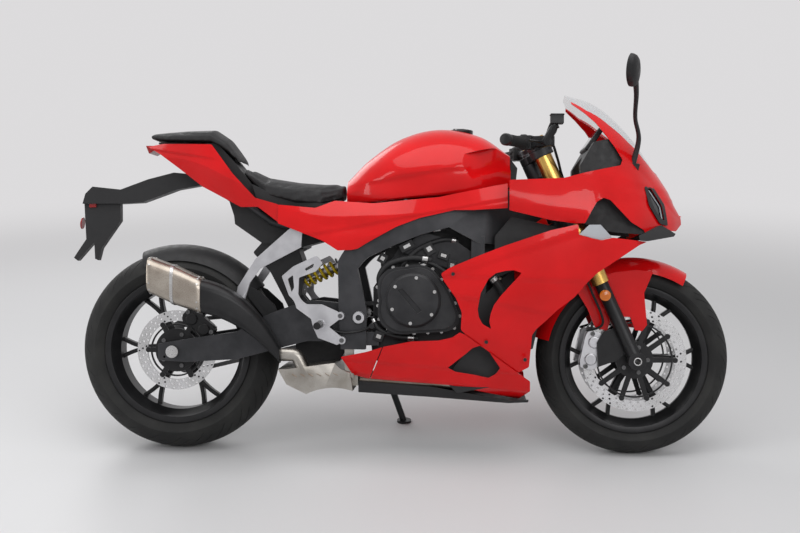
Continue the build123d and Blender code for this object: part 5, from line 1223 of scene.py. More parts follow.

# Seats: the pads are blown up a little under their covers

seats = {
    "rider_cushion": {"node": "rider_seat", "cap": 0.006, "fill": 0.6},
    "pillion_cushion": {"node": "pillion_seat", "cap": 0.005, "fill": 0.6},
}
padding = {"voxel": 0.005, "pressure": 4.0, "frames": 20, "shrink": 0.0035}


def paddedPiece(name, size):
    source = nodes[size["node"]].data
    form = bmesh.new()
    form.from_mesh(source)
    bmesh.ops.remove_doubles(form, verts=form.verts, dist=0.00005)
    bmesh.ops.recalc_face_normals(form, faces=form.faces)
    form.normal_update()
    for vertex in form.verts:
        vertex.co -= vertex.normal * padding["shrink"]
    pad = bpy.data.meshes.new(name)
    form.to_mesh(pad)
    form.free()
    pad.materials.clear()
    thing = tempObject(pad, name)
    remesh = thing.modifiers.new("even", "REMESH")
    remesh.mode = "VOXEL"
    remesh.voxel_size = padding["voxel"]
    even = evaluated(thing)
    rest = [vertex.co.copy() for vertex in even.vertices]
    thing = tempObject(even.copy(), name)
    cloth = thing.modifiers.new("cover", "CLOTH")
    cloth.settings.use_pressure = True
    cloth.settings.uniform_pressure_force = padding["pressure"]
    cloth.settings.effector_weights.gravity = 0
    for step in range(1, padding["frames"] + 1):
        scene.frame_set(step)
    blown = evaluated(thing)
    down = place.to_3x3() @ Vector((0, 0, -1))
    for vertex, start in zip(blown.vertices, rest):
        moved = vertex.co - start
        if moved.length > size["cap"]:
            moved *= size["cap"] / moved.length
        moved -= down * max(0.0, moved.dot(down))
        vertex.co = start + moved
    scene.frame_set(1)
    blown.materials.append(finish["seatCover"])
    blown.polygons.foreach_set("use_smooth", [True] * len(blown.polygons))
    piece = tempObject(blown, name)
    soft = piece.modifiers.new("smoothForm", "SUBSURF")
    soft.levels = 1
    soft.render_levels = 1
    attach(piece, "chassis")
    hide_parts(size["node"])


for pieceName, size in seats.items():
    paddedPiece(pieceName, size)
print("seats made")

# Hard parts kept from the solids, with their edges softened

def softenedNode(name, node, finishName, body, slot, edge=1.5, smooth=28):
    form = bmesh.new()
    form.from_mesh(nodes[node].data)
    bmesh.ops.remove_doubles(form, verts=form.verts, dist=0.00003)
    bmesh.ops.dissolve_limit(form, angle_limit=math.radians(0.6), verts=form.verts, edges=form.edges)
    bmesh.ops.dissolve_degenerate(form, dist=0.00005, edges=form.edges)
    bmesh.ops.triangulate(form, faces=[face for face in form.faces if len(face.verts) > 40])
    back = place.inverted()
    bmesh.ops.transform(form, matrix=Matrix.Scale(1 / perMetre, 4) @ back, verts=form.verts)
    return makePiece(name, form, finishName, body, [node], smooth=smooth, bevel=edge)


softened = [
    ("frame_casting", "main_frame", "frameAlloy", "chassis", "frame_alloy", 2.2),
    ("swingarm_casting", "swingarm", "frameAlloy", "chassis", "frame_alloy", 2.5),
    ("engine_castings", "engine_block", "engineAlloy", "chassis", "engine_alloy", 2.0),
    ("plate_holder", "plate_bracket", "blackPlastic", "chassis", "black_plastic", 2.0),
    ("tray_moulding", "undertray", "blackPlastic", "chassis", "black_plastic", 2.0),
    ("cockpit_moulding", "cockpit_panel", "blackPlastic", "chassis", "black_plastic", 2.0),
    ("winglet_mouldings", "winglets", "blackPlastic", "chassis", "black_plastic", 1.5),
    ("intake_mouldings", "intake_ducts", "blackPlastic", "chassis", "black_plastic", 1.0),
    ("pale_inserts", "fairing_inserts", "palePlastic", "chassis", "silver_alloy", 1.0),
    ("belly_moulding", "belly_keel", "blackPlastic", "chassis", "black_plastic", 1.0),
    ("pillion_hangers", "pillion_pegs", "silverAlloy", "chassis", "silver_alloy", 1.8),
    ("collector_box", "exhaust_box", "boxMetal", "chassis", "muffler_metal", 3.0),
    ("yokes", "triple_clamps", "frameAlloy", "steering", "frame_alloy", 1.5),
    ("fork_castings", "fork_legs", "satinBlack", "steering", "shield_black", 1.5),
    ("tank_collar", "tank_trim", "blackPlastic", "chassis", "black_plastic", 1.5),
    ("subframe_rails", "subframe", "frameAlloy", "chassis", "frame_alloy", 1.5),
    ("shock_casting", "rear_shock", "silverAlloy", "chassis", "steel", 1.0),
    ("header_tubes", "header_pipes", "exhaustMetal", "chassis", "muffler_metal", 0.8),
    ("shield_moulding", "muffler_shield", "satinBlack", "chassis", "shield_black", 2.0),
    ("hugger_moulding", "rear_hugger", "blackPlastic", "chassis", "black_plastic", 1.5),
    ("fender_moulding", "front_fender", "redPaint", "steering", "red_paint", 1.5),
    ("side_stand_arm", "side_stand", "satinBlack", "side_stand", "shield_black", 1.5),
    ("front_axle_bar", "front_axle", "steel", "steering", "steel", 0.8),
    ("rear_axle_bar", "rear_axle", "steel", "chassis", "steel", 0.8),
]
for row in softened:
    softenedNode(*row)
print("castings softened")


def curvedOutline(rows, steps=8):
    # Rows of x, z and the bulge of the edge that follows, as in the solids
    points = []
    for (x0, z0, bulge), (x1, z1) in zip(rows, [row[:2] for row in rows[1:] + rows[:1]]):
        runX, runZ = x1 - x0, z1 - z0
        count = steps if bulge else 1
        for i in range(count):
            t = i / count
            lift = bulge * 4 * t * (1 - t)
            points.append((x0 + runX * t + runZ * lift, z0 + runZ * t - runX * lift))
    return points


def scaledOutline(points, share):
    middleX = sum(x for x, z in points) / len(points)
    middleZ = sum(z for x, z in points) / len(points)
    return [(middleX + (x - middleX) * share, middleZ + (z - middleZ) * share) for x, z in points]


# Engine covers, their screws, and what shows in the frame's window
cover = {
    "outline": [(63.5, 48, -0.32), (72, 59, -0.2), (83, 55, -0.05), (88, 46, -0.3), (85, 38.5, 0),
                (70, 37.5, -0.25)],
    "layers": [(1.0, -120.3, -134, 2.0), (0.955, -133, -176, 6.0), (0.87, -175, -190, 6.0)],
    "face": (74.6, 48.4, 84, -189, -203), "slot": [(69.6, 51.6), (71.2, 52.2), (77.2, 45.4), (75.8, 44.4)],
    "alternator": (87, 40, 72), "screwGap": 42.0,
}
coverLine = curvedOutline(cover["outline"], 10)
coverForm = bmesh.new()
for share, near, far, round_ in cover["layers"]:
    slab(coverForm, scaledOutline(coverLine, share), far, near, round_)
faceX, faceZ, faceRadius, faceNear, faceFar = cover["face"]
facePoint = onGrid(faceX, faceZ)
turnedForm(coverForm, [(0.1, faceNear), (faceRadius, faceNear), (faceRadius - 2, faceFar + 6),
                       (faceRadius - 9, faceFar), (faceRadius - 26, faceFar - 1.5), (0.1, faceFar - 1.5)],
           facePoint, acrossAxis, 64, closed=False)
slotForm = bmesh.new()
slab(slotForm, cover["slot"], faceFar - 20, faceFar + 5, 6)
coverMesh = trimmed(coverForm, [(slotForm, "DIFFERENCE")])
coverBoth = bmesh.new()
coverBoth.from_mesh(coverMesh)
alternatorX, alternatorZ, alternatorRadius = cover["alternator"]
turnedForm(coverBoth, [(0.1, 120.4), (alternatorRadius, 120.4), (alternatorRadius, 150),
                       (alternatorRadius - 5, 168), (alternatorRadius - 20, 179), (30, 181), (26, 177), (0.1, 177)],
           onGrid(alternatorX, alternatorZ), acrossAxis, 64, closed=False)
makePiece("engine_side_covers", coverBoth, "engineAlloy", "chassis", ["engine_covers"],
          smooth=30, bevel=1.6)
coverScrews = []
rim = [onGrid(x, z) for x, z in scaledOutline(coverLine, 0.975)]
walked = 0.0
for first, second in zip(rim, rim[1:] + rim[:1]):
    run = second - first
    while walked <= run.length:
        spot = first + run * (walked / run.length)
        coverScrews.append((Vector((spot.x, -133.5, spot.z)), (0, -1, 0)))
        walked += cover["screwGap"]
    walked -= run.length
for i in range(6):
    turn = 2 * math.pi * i / 6 + 0.4
    ray = Vector((math.cos(turn), 0, math.sin(turn)))
    coverScrews.append((facePoint + ray * (faceRadius - 15) + acrossAxis * (faceFar - 0.6), (0, -1, 0)))
    spot = onGrid(alternatorX, alternatorZ) + ray * (alternatorRadius - 9) + acrossAxis * 163
    coverScrews.append((spot, (0, 1, 0)))
screws("engine_screws", coverScrews, 5.2, 5.0, "steel", "chassis")

plumbing = {
    "hoses": [
        ([(655, -128, 500), (640, -150, 548), (668, -160, 592), (735, -158, 612), (800, -160, 606)], 9.5),
        ([(702, -122, 560), (712, -150, 590), (760, -158, 640), (830, -150, 668), (880, -140, 664)], 7.5),
        ([(618, -150, 432), (640, -152, 395), (690, -150, 372), (760, -148, 366)], 8.0),
        ([(770, -150, 604), (812, -166, 590), (852, -166, 560), (880, -160, 520)], 6.0),
        ([(664, -140, 640), (700, -146, 668), (760, -150, 690), (840, -150, 702)], 5.0),
        ([(980, -170, 560), (1010, -172, 520), (1035, -172, 460), (1050, -165, 400)], 12.0),
    ],
    "blocks": [
        # centre, size, tilt in degrees
        ((672, -150, 566), (34, 22, 22), 12), ((724, -152, 648), (44, 26, 26), -28),
        ((792, -152, 640), (30, 24, 38), -30), ((836, -152, 620), (34, 20, 24), 18),
        ((770, -146, 590), (52, 18, 18), -20), ((650, -150, 610), (26, 20, 30), 30),
        ((862, -150, 590), (24, 22, 30), 8), ((700, -150, 392), (70, 24, 26), 4),
        ((640, -150, 372), (30, 24, 30), 20),
    ],
}


def smoothPath(points, steps=8):
    points = [Vector(point) for point in points]
    path = []
    for k in range(len(points) - 1):
        a, b, c, d = (points[max(k - 1, 0)], points[k], points[k + 1], points[min(k + 2, len(points) - 1)])
        for i in range(steps):
            t = i / steps
            path.append(b + (c - a) * 0.5 * t + (a - b * 2.5 + c * 2 - d * 0.5) * t * t
                        + (b * 1.5 - c * 1.5 + d * 0.5 - a * 0.5) * t ** 3)
    return path + [points[-1]]


hoseForm, clampForm = bmesh.new(), bmesh.new()
for points, radius in plumbing["hoses"]:
    line = smoothPath(points)
    tubeAlong(hoseForm, line, radius, 14)
    for near, far in ((2, 4), (len(line) - 5, len(line) - 3)):
        tubeAlong(clampForm, line[near:far + 1], radius + 1.6, 16)
for centre, blockSize, tiltDegrees in plumbing["blocks"]:
    turned = Matrix.Rotation(math.radians(tiltDegrees), 3, "Y")
    block(hoseForm, centre, blockSize, turned)
    block(clampForm, Vector(centre) + Vector((0, -blockSize[1] / 2, 0)), (blockSize[0] * 0.5, 5, blockSize[2] * 0.4),
          turned)
makePiece("engine_hoses", hoseForm, "blackPlastic", "chassis", smooth=30, bevel=1.5)
makePiece("engine_clips", clampForm, "steel", "chassis", smooth=30, bevel=0.6)

# Rings on both ends of the swingarm pivot
pivotForm = bmesh.new()
for side in (-1, 1):
    turnedForm(pivotForm, [(radius, side * along) for radius, along in
                           ((9, 186.6), (9, 190), (17, 190), (19, 187), (19, 178.5), (9, 178.5))],
               onGrid(58, 43), acrossAxis, 36)
makePiece("pivot_rings", pivotForm, "silverAlloy", "chassis", smooth=30)
print("engine dressed")

# Bars, seen from their clamps outward
bars = {"from": 728.3, "end": (1012, 340, 955), "barRadius": 11, "gripFrom": 119.7,
        "gripTo": 244.7, "switchFrom": 85.0, "switchTo": 119.4, "ribs": 26, "leverAhead": 58}


def barFrame(side):
    start = forkPoint(bars["from"], side)
    end = Vector((bars["end"][0], side * bars["end"][1], bars["end"][2]))
    run = (end - start).normalized()
    ahead = (run.cross(Vector((0, 0, 1))) * side).normalized()
    return start, run, ahead, ahead.cross(run) * side


for side, sideName in ((-1, "right"), (1, "left")):
    start, run, ahead, upward = barFrame(side)
    turnBasis = basis(ahead, upward)
    barForm = bmesh.new()
    turnedForm(barForm, [(27.3, -14), (35, -14), (36, -13), (36, 13), (35, 14), (27.3, 14)],
               start, steerUp, 40)
    block(barForm, start + run * 34, (26, 20, 24), basis(run, steerUp))
    tubeAlong(barForm, [start + run * 30, start + run * bars["gripTo"]], bars["barRadius"], 24)
    block(barForm, start + ahead * 34, (16, 26, 22), basis(ahead, steerUp))
    makePiece(f"{sideName}_clip_on", barForm, "frameAlloy", "steering", smooth=30, bevel=1.2,
              replaced=["handlebars"] if side < 0 else ())
    gripForm = bmesh.new()
    rows = [(11, bars["gripFrom"]), (20, bars["gripFrom"]), (20.5, bars["gripFrom"] + 3), (17, bars["gripFrom"] + 5)]
    ribTop, ribFoot = 16.6, 15.5
    for i in range(bars["ribs"]):
        near = bars["gripFrom"] + 7 + i * 4.4
        rows += [(ribTop, near), (ribTop, near + 2.4), (ribFoot, near + 3), (ribFoot, near + 3.8)]
    rows += [(ribTop, bars["gripTo"] - 2), (ribFoot, bars["gripTo"]), (11, bars["gripTo"])]
    turnedForm(gripForm, rows, start, run, 32)
    makePiece(f"{sideName}_grip", gripForm, "gripRubber", "steering", smooth=40)
    weightForm = bmesh.new()
    turnedForm(weightForm, [(0.1, 244.9), (16.5, 244.9), (17.8, 247), (17.8, 262), (15, 269), (6, 270.5),
                            (0.1, 270.5)], start, run, 32, closed=False)
    makePiece(f"{sideName}_bar_weight", weightForm, "satinBlack", "steering", smooth=30)
    switchForm = bmesh.new()
    centre = start + run * (bars["switchFrom"] + bars["switchTo"]) / 2
    block(switchForm, centre + upward, (44, 34, 42), turnBasis)
    block(switchForm, centre - ahead * 22 + upward * 8, (6, 15, 10), turnBasis)
    block(switchForm, centre - ahead * 22 - upward * 8, (7, 12, 12), turnBasis)
    block(switchForm, centre + upward * 23 - ahead * 6, (18, 16, 6), turnBasis)
    turnedForm(switchForm, [(0.1, -5), (6, -5), (6, 5), (0.1, 5)], centre - ahead * 22 + run * 8, ahead, 16,
               closed=False)
    makePiece(f"{sideName}_switches", switchForm, "blackPlastic", "steering", smooth=30,
              bevel=3.0, rounds=3)
    perch = centre - run * 4 + ahead * 20
    pumpForm = bmesh.new()
    block(pumpForm, perch, (24, 30, 26), turnBasis)
    pivotSpot = perch + ahead * (bars["leverAhead"] - 30) - run * 6
    tubeAlong(pumpForm, [perch, pivotSpot], [12, 10], 12, 0.7, upward)
    turnedForm(pumpForm, [(0.1, -9), (8, -9), (8, 9), (0.1, 9)], pivotSpot, upward, 20, closed=False)
    pump = [pivotSpot - ahead * 10 - run * 44, pivotSpot - ahead * 8 + run * 10]
    tubeAlong(pumpForm, pump, [10.5, 12] if side < 0 else [6, 8], 20)
    makePiece(f"{sideName}_lever_perch", pumpForm, "satinBlack", "steering", smooth=30, bevel=1.5)
    leverForm = bmesh.new()
    leverLine = smoothPath([pivotSpot, pivotSpot + run * 20 + ahead * 5, pivotSpot + run * 62 + ahead * 4,
                            pivotSpot + run * 104 - ahead * 2, pivotSpot + run * 138 + ahead * 6], 5)
    # it narrows along the first ten points and ends in a knob
    radii = [8.0 - 3.2 * min(i / 9, 1) for i in range(len(leverLine))]
    radii[-2:] = [7.4, 7.0]
    tubeAlong(leverForm, leverLine, radii, 14, 0.62, upward)
    makePiece(f"{sideName}_lever", leverForm, "satinBlack", "steering", smooth=50)
print("bars made")

cupForm = bmesh.new()
cupFoot = Vector((1166, -250, 1009))
block(cupForm, cupFoot + Vector((0, 0, 14)), (38, 34, 26))
block(cupForm, cupFoot + Vector((0, 0, 28)), (41, 37, 5))
makePiece("fluid_cup", cupForm, "blackPlastic", "steering", smooth=30, bevel=2.5, rounds=3)
startR, runR, aheadR, upwardR = barFrame(-1)
perchR = startR + runR * 98 + aheadR * 40
cupStay = bmesh.new()
tubeAlong(cupStay, smoothPath([perchR, perchR + aheadR * 20 + upwardR * 12, cupFoot + Vector((-16, 0, 3)), cupFoot]),
          4.5, 10, 0.5, (0, 1, 0))
tubeAlong(cupStay, smoothPath([cupFoot + Vector((0, 6, 2)), cupFoot + Vector((-6, 14, -22)),
                               perchR - runR * 30 + aheadR * 8, perchR - runR * 20]), 5, 10)
makePiece("fluid_cup_stay", cupStay, "blackPlastic", "steering", smooth=50)
cables = bmesh.new()
for side in (-1, 1):
    startS, runS, aheadS = barFrame(side)[:3]
    top = startS + runS * 70 + aheadS * 34
    upper = [top, top - runS * 24 + aheadS * 26 + Vector((0, 0, 4)),
             top - runS * 56 + aheadS * 34 - Vector((0, 0, 40)),
             forkPoint(600, side * 0.55) + steerAhead * 34, forkPoint(500, side * 0.55) + steerAhead * 40]
    lower = [forkPoint(470, side * 0.6) + steerAhead * 38, forkPoint(380, side * 0.95) - steerAhead * 30,
             forkPoint(260, side) - steerAhead * 36, forkPoint(150, side) - steerAhead * 44,
             frontAxle + Vector((-150, side * 84, 90))]
    tubeAlong(cables, smoothPath(upper), 4.2, 10)
    tubeAlong(cables, smoothPath(lower), 3.8, 10)
makePiece("steering_lines", cables, "gripRubber", "steering", smooth=50)

# Brakes, footrests, exhaust, lamps and small parts

calipers = [
    # name, node, body, slot, finish, axle, radius, angle, places across, disc radius, half length, half depth
    ("front_caliper_bodies", "front_calipers", "steering", "silver_alloy", "silverAlloy", frontAxle, 136.5, 168,
     (-68, 68), 160, 60, 30),
    ("rear_caliper_body", "rear_caliper", "chassis", "shield_black", "satinBlack", rearAxle, 108.5, 50, (-78,), 125,
     56, 28),
]
caliperForm = {
    # outline as shares of the half depth and half length
    "outline": [(-1, -0.72), (-0.5, -1), (0.75, -1), (1, -0.7), (1, 0.7), (0.75, 1), (-0.5, 1), (-1, 0.72),
                (-0.7, 0)],
    "padGap": 4.2, "face": 17, "corner": 8, "bridgeGap": 3, "bridge": (20, 30), "bridgesAt": (-0.62, 0, 0.62),
    "pistonsAt": 0.45, "piston": [(0.1, 15), (19, 15), (19, 21), (16, 23.5), (0.1, 23.5)], "screwsAt": 0.86,
}
for pieceName, node, body, slot, finishName, axle, radius, angle, across, discRadius, long, deep in calipers:
    ray = Vector((math.cos(math.radians(angle)), 0, math.sin(math.radians(angle))))
    tangent = Vector((-ray.z, 0, ray.x))
    form, heads = bmesh.new(), []
    padGap, face = caliperForm["padGap"], caliperForm["face"]
    outline = [Vector((deep * a, long * b)) for a, b in caliperForm["outline"]]
    outline = roundedOutline(outline, caliperForm["corner"], 3)
    for offset in across:
        outward = acrossAxis * math.copysign(1, offset)
        centre = axle + ray * radius + acrossAxis * offset
        for near, far in ((padGap, face), (-face, -padGap)):
            joinRings(form, [[centre + ray * p.x + tangent * p.y + acrossAxis * y for p in outline]
                             for y in (near, far)])
        bridge = discRadius + caliperForm["bridgeGap"] - radius
        for share in caliperForm["bridgesAt"]:
            block(form, centre + ray * (bridge + deep) / 2 + tangent * long * share,
                  (deep - bridge, *caliperForm["bridge"]), basis(ray, tangent).to_3x3())
        for way in (-1, 1):
            spot = centre + tangent * long * caliperForm["pistonsAt"] * way - ray * 2
            turnedForm(form, caliperForm["piston"], spot, outward, 28, closed=False)
            spot = centre + tangent * long * caliperForm["screwsAt"] * way + ray * deep * 0.3
            heads.append((spot + outward * face, outward))
        if node == "rear_caliper":
            tubeAlong(form, [onGrid(9.8, 35, -9.4), onGrid(9.8, 35, -11.17)], 10, 16)
    makePiece(pieceName, form, finishName, body, [node], smooth=30, bevel=1.8)
    screws(pieceName + "_screws", heads, 7, 6, "darkSteel", body)

footrest = {
    "outline": [(34.8, 55.4, 0), (38.3, 58.4, 0), (45.2, 61.7, 0), (47.2, 59.5, 0), (45.2, 57, 0), (40, 55, 0),
                (39.8, 50, 0.1), (42.5, 47, 0), (47, 47, 0), (51.6, 45, 0), (53.6, 43.5, 0), (49.3, 40.2, 0),
                (53.8, 36.6, 0), (51.8, 34.8, 0), (45.9, 36.9, 0), (44.4, 40.2, 0), (43.8, 42.6, 0),
                (39.3, 45.8, 0.1), (37.1, 49.5, 0)],
    "holes": [((41.8, 57.8), (44.6, 59.4), (44.3, 58.2), (42, 57)),
              ((36.6, 54.6), (38.2, 55.8), (38.6, 52), (37.8, 50.6))],
    "bosses": [(53.1, 36.2), (52.6, 43.6)], "peg": (46.5, 41), "inner": 195, "outer": 205,
}
hangerCuts = []
for hole in footrest["holes"]:
    cutter = bmesh.new()
    slab(cutter, hole, -220, -180, 4)
    hangerCuts.append((cutter, "DIFFERENCE"))
hangerForm = bmesh.new()
slab(hangerForm, curvedOutline(footrest["outline"]), -footrest["outer"], -footrest["inner"], 4)
hangerMesh = trimmed(hangerForm, hangerCuts)
hangerParts = onBothSides(hangerMesh)
pegParts = bmesh.new()
for side in (-1, 1):
    for x, z in footrest["bosses"]:
        tubeAlong(hangerParts, [onGrid(x, z, side * 17.83), onGrid(x, z, side * 20.6)], 11.5, 24)
    pegSpot = onGrid(*footrest["peg"])
    tubeAlong(hangerParts, [pegSpot + acrossAxis * side * 194, pegSpot + acrossAxis * side * 214], 15, 24)
    rows = [(0.1, 214)]
    for i in range(17):
        rows += [(10.8, 214.5 + i * 4.3), (10.8, 217 + i * 4.3), (9.4, 217.6 + i * 4.3), (9.4, 218.4 + i * 4.3)]
    rows += [(10.8, 288.5), (9.5, 290), (0.1, 290)]
    turnedForm(pegParts, rows, pegSpot, acrossAxis * side, 24, closed=False)
    lever = smoothPath([pegSpot + Vector((6, side * 188, -2)), pegSpot + Vector((60, side * 188, -24)),
                        pegSpot + Vector((120, side * 196, -20)), pegSpot + Vector((158, side * 208, -2))])
    tubeAlong(pegParts, lever, 7, 12, 0.6)
    tubeAlong(pegParts, [lever[-1] - acrossAxis * side * 4, lever[-1] + acrossAxis * side * 26], 8, 16)
makePiece("footrest_plates", hangerParts, "silverAlloy", "chassis", ["footrest_hangers"],
          smooth=30, bevel=1.6)
makePiece("footpegs_and_pedals", pegParts, "satinBlack", "chassis", smooth=35)
footrestScrews = [(onGrid(x, z, side * 20.6), (0, side, 0)) for x, z in footrest["bosses"] for side in (-1, 1)]
screws("footrest_screws", footrestScrews, 7, 4, "darkSteel", "chassis")
print("brakes and footrests made")

can = {
    "rows": [(-4.6, 55.6, 5.4, -22.2, 5.6), (4, 52.2, 5.8, -22.2, 5.8), (11.4, 49.3, 5.2, -21.8, 5.4)],
    "corner": 0.6,
    # share of the length and share of the size, along the can
    "lip": [(0.0, 0.975), (0.03, 1.0), (0.1, 1.0), (0.115, 0.985), (0.5, 0.99), (0.88, 0.985), (0.9, 1.0),
            (0.985, 1.0), (1.0, 0.97)],
}


def canRing(share, scale):
    places = [row[0] for row in can["rows"]]
    lines = [[Vector(row[1:3]), Vector(row[3:5])] for row in can["rows"]]
    x = places[0] + (places[-1] - places[0]) * share
    (z, halfHigh), (y, halfWide) = smoothThrough(places, lines, x)
    corner = can["corner"] * halfWide
    ring = []
    for sy, sz, start in ((1, 1, 0), (-1, 1, 90), (-1, -1, 180), (1, -1, 270)):
        for i in range(9):
            turn = math.radians(start + 90 * i / 8)
            ring.append(onGrid(x, z + ((halfHigh - corner) * sz + corner * math.sin(turn)) * scale,
                               y + ((halfWide - corner) * sy + corner * math.cos(turn)) * scale))
    return ring


canForm = bmesh.new()
canRings = [canRing(0.03, 0.8), canRing(0.0, 0.86)] + [canRing(share, scale) for share, scale in can["lip"]]
joinRings(canForm, canRings)
makePiece("muffler_can", canForm, "mufflerMetal", "chassis", ["muffler"], smooth=32, bevel=0.8)
endForm = bmesh.new()
for high in (2.0, -2.2):
    outlet = Vector((-46, -222, 556)) + Vector((0, 0, high * gridStep))
    turnedForm(endForm, [(15, 2), (18, 1.5), (18, -14), (15, -14)], outlet, (-1, 0, 0), 32)
block(endForm, (-38.5, -222, 556), (2, 78, 82))
makePiece("muffler_outlets", endForm, "satinBlack", "chassis", smooth=30, bevel=0.8)
rivets = []
for share in (0.05, 0.94):
    ring = canRing(share, 1.0)
    middle = sum(ring, Vector()) / len(ring)
    for k in range(0, len(ring), 3):
        rivets.append((ring[k], ring[k] - middle))
screws("muffler_rivets", rivets, 3.0, 1.6, "steel", "chassis", 0.3)
shieldVents = bmesh.new()
for i in range(5):
    x = 15.5 + i * 2.6
    z = 48.6 - i * 1.45
    block(shieldVents, onGrid(x, z, i * 0.54 - 25.65), (7, 3, 34 - i * 3), Matrix.Rotation(0.5, 3, "Y"))
makePiece("shield_louvres", shieldVents, "blackPlastic", "chassis", smooth=30, bevel=1.0)

# Mirrors with a domed shell, and their glass towards the rider
mirror = {
    "rows": [[(140.5, 88.5, -12), (142.4, 97.5, -14), (140.3, 103.5, -20), (139.2, 109.5, -28), (137.3, 114.8, -36)],
             [(140.5, 88.5, 12), (142.2, 95.5, 14.5), (141, 93.5, 22), (139.8, 87.5, 30), (139.2, 82.5, 36)]],
    "wide": 35, "high": 61, "stalk": 8, "foot": 5, "narrowing": 0.16,
    # depth and share of the size, from the glass to the back
    "dome": ((12, 0.97), (12.8, 1.0), (6, 1.0), (-2, 0.95), (-8, 0.8), (-12, 0.5), (-13.5, 0.15)),
}
mirrorForm, mirrorGlass = bmesh.new(), bmesh.new()
for row in mirror["rows"]:
    points = [onGrid(x, z, y) for x, z, y in row]
    up = (points[-1] - points[-2]).normalized()
    out = Vector((-0.72, -0.7 * math.copysign(1, points[0].y), 0))
    sideways = up.cross(out).normalized()
    lookBack = sideways.cross(up).normalized()
    stalk = smoothPath(points[:-1] + [points[-1] - up * 20])
    last = len(stalk) - 1
    stalkRadii = [mirror["stalk"] + mirror["foot"] * (1 - 2 * i / last) ** 2 for i in range(len(stalk))]
    tubeAlong(mirrorForm, stalk, stalkRadii, 14, 0.8)
    base = points[0]
    block(mirrorForm, base + (points[1] - base) * 0.14, (40, 24, 22), basis((1, 0, 0), points[1] - base))
    turnedForm(mirrorForm, [(0.1, -6), (17, -6), (15, 7), (10, 12), (0.1, 12)], base + Vector((0, 0, 2)),
               (points[1] - points[0]), 24, closed=False)
    rings = []
    for depth, scale in mirror["dome"]:
        ring = []
        for i in range(36):
            turn = 2 * math.pi * i / 36
            wide = mirror["wide"] * (1 - mirror["narrowing"] * (1 - math.sin(turn)) / 2)
            ring.append(points[-1] + sideways * math.cos(turn) * wide * scale
                        + up * math.sin(turn) * mirror["high"] * scale + lookBack * depth)
        rings.append(ring)
    joinRings(mirrorForm, rings)
    glass = [p + lookBack * 0.4 for p in rings[0]]
    middle = sum(glass, Vector()) / len(glass)
    joinRings(mirrorGlass, [[middle + (p - middle) * 0.94 + lookBack * d for p in glass] for d in (-1.0, 0.6)])
makePiece("mirror_shells", mirrorForm, "blackPlastic", "chassis", ["mirrors"], smooth=45)
makePiece("mirror_glasses", mirrorGlass, "mirrorGlass", "chassis", smooth=30)
print("exhaust and mirrors made")

# Lamps
lampLine = [(145.4, 82.8), (146.7, 83.1), (150.3, 77.9), (151.0, 73.2), (149.6, 73.8), (147.2, 77.3)]
lampRelief = panelShell(cowlSections, 100, 22, lambda x, z: -7.0, 2.5)
lampMesh = trimmed(lampRelief, [(sideCutter(lampLine, 5), "INTERSECT")])
makePiece("headlamp_lenses", lampMesh, "lampClear", "chassis", ["headlamps"], bevel=0.5)
stripLine = [(145.6, 82.4), (146.2, 82.6), (149.9, 77.6), (150.5, 73.6), (149.9, 73.9), (148.9, 77.4)]
stripMesh = trimmed(panelShell(cowlSections, 100, 22, lambda x, z: -6.2, 1.2), [
    (sideCutter(stripLine, 3), "INTERSECT"),
    (sideCutter([(x - 0.45, z - 0.1) for x, z in stripLine], 3), "DIFFERENCE")])
makePiece("headlamp_light_strips", stripMesh, "palePlastic", "chassis", smooth=40)
tailForm = bmesh.new()
slab(tailForm, [(-11.05, 96.1), (-8.8, 96.1), (-8.2, 94.7), (-10, 93.5)], -50, 50, 3)
makePiece("tail_lens", tailForm, "lampRed", "chassis", ["tail_lamp"], smooth=30, bevel=2.0)
reflectors = bmesh.new()
for side in (-1, 1):
    spot = forkPoint(225, side) + acrossAxis * side * 21 - steerAhead * 6
    turnedForm(reflectors, [(0.1, 0), (17, 0), (17, 4), (14, 6), (0.1, 6.5)], spot, acrossAxis * side, 32,
               closed=False)
makePiece("fork_reflectors", reflectors, "lampAmber", "steering", smooth=40)
plateLamp = bmesh.new()
block(plateLamp, onGrid(-29, 77.2), (22, 40, 12))
turnedForm(plateLamp, [(0.1, 0), (19, 0), (19, 4), (15, 6), (0.1, 6.5)], onGrid(-32.6, 71.5), (-1, 0, 0.1), 32,
           closed=False)
makePiece("rear_reflector", plateLamp, "lampRed", "chassis", smooth=35, bevel=0.8)
print("lamps made")

# Radiator core: fins in rows between its tanks
radiatorForm = bmesh.new()
slab(radiatorForm, [(107.9, 35.5), (109.9, 35.0), (115.6, 61.5), (113.6, 62)], -150, 150)
slab(radiatorForm, [(107.3, 34.5), (110.7, 33.8), (116.6, 62.5), (113.4, 63)], -175, -148, 6)
slab(radiatorForm, [(107.3, 34.5), (110.7, 33.8), (116.6, 62.5), (113.4, 63)], 148, 175, 6)
makePiece("radiator_body", radiatorForm, "blackPlastic", "chassis", ["radiator"], smooth=30,
          bevel=1.5)
fin = bmesh.new()
slab(fin, [(109.8, 35.6), (110.2, 35.5), (115.9, 61.4), (115.5, 61.5)], -149, -147.4)
finMesh = rowOf(fin, 48, (0, 6.2, 0), "darkSteel")
makePiece("radiator_fins", finMesh, "darkSteel", "chassis", smooth=30)

# What closes the space under the seats, so that no light passes between panel and pad
seatFill = bmesh.new()
slab(seatFill, [(9, 96.6), (12.5, 96.6), (17.2, 91.6), (21, 87), (26, 80.8), (26, 77.6), (20, 82.6), (14, 90),
                (8, 94.4)], -84, 84, 4)
slab(seatFill, [(24, 83.8), (30, 80.8), (38, 79), (46, 77.8), (52, 79), (53, 76), (46, 73), (36, 73.5), (26, 77.4)],
     -118, 118, 4)
slab(seatFill, [(-7, 97.1), (9, 96.7), (9, 94.8), (-6, 95.2)], -52, 52, 3)
makePiece("seat_base_moulding", seatFill, "blackPlastic", "chassis", smooth=30, bevel=1.5)

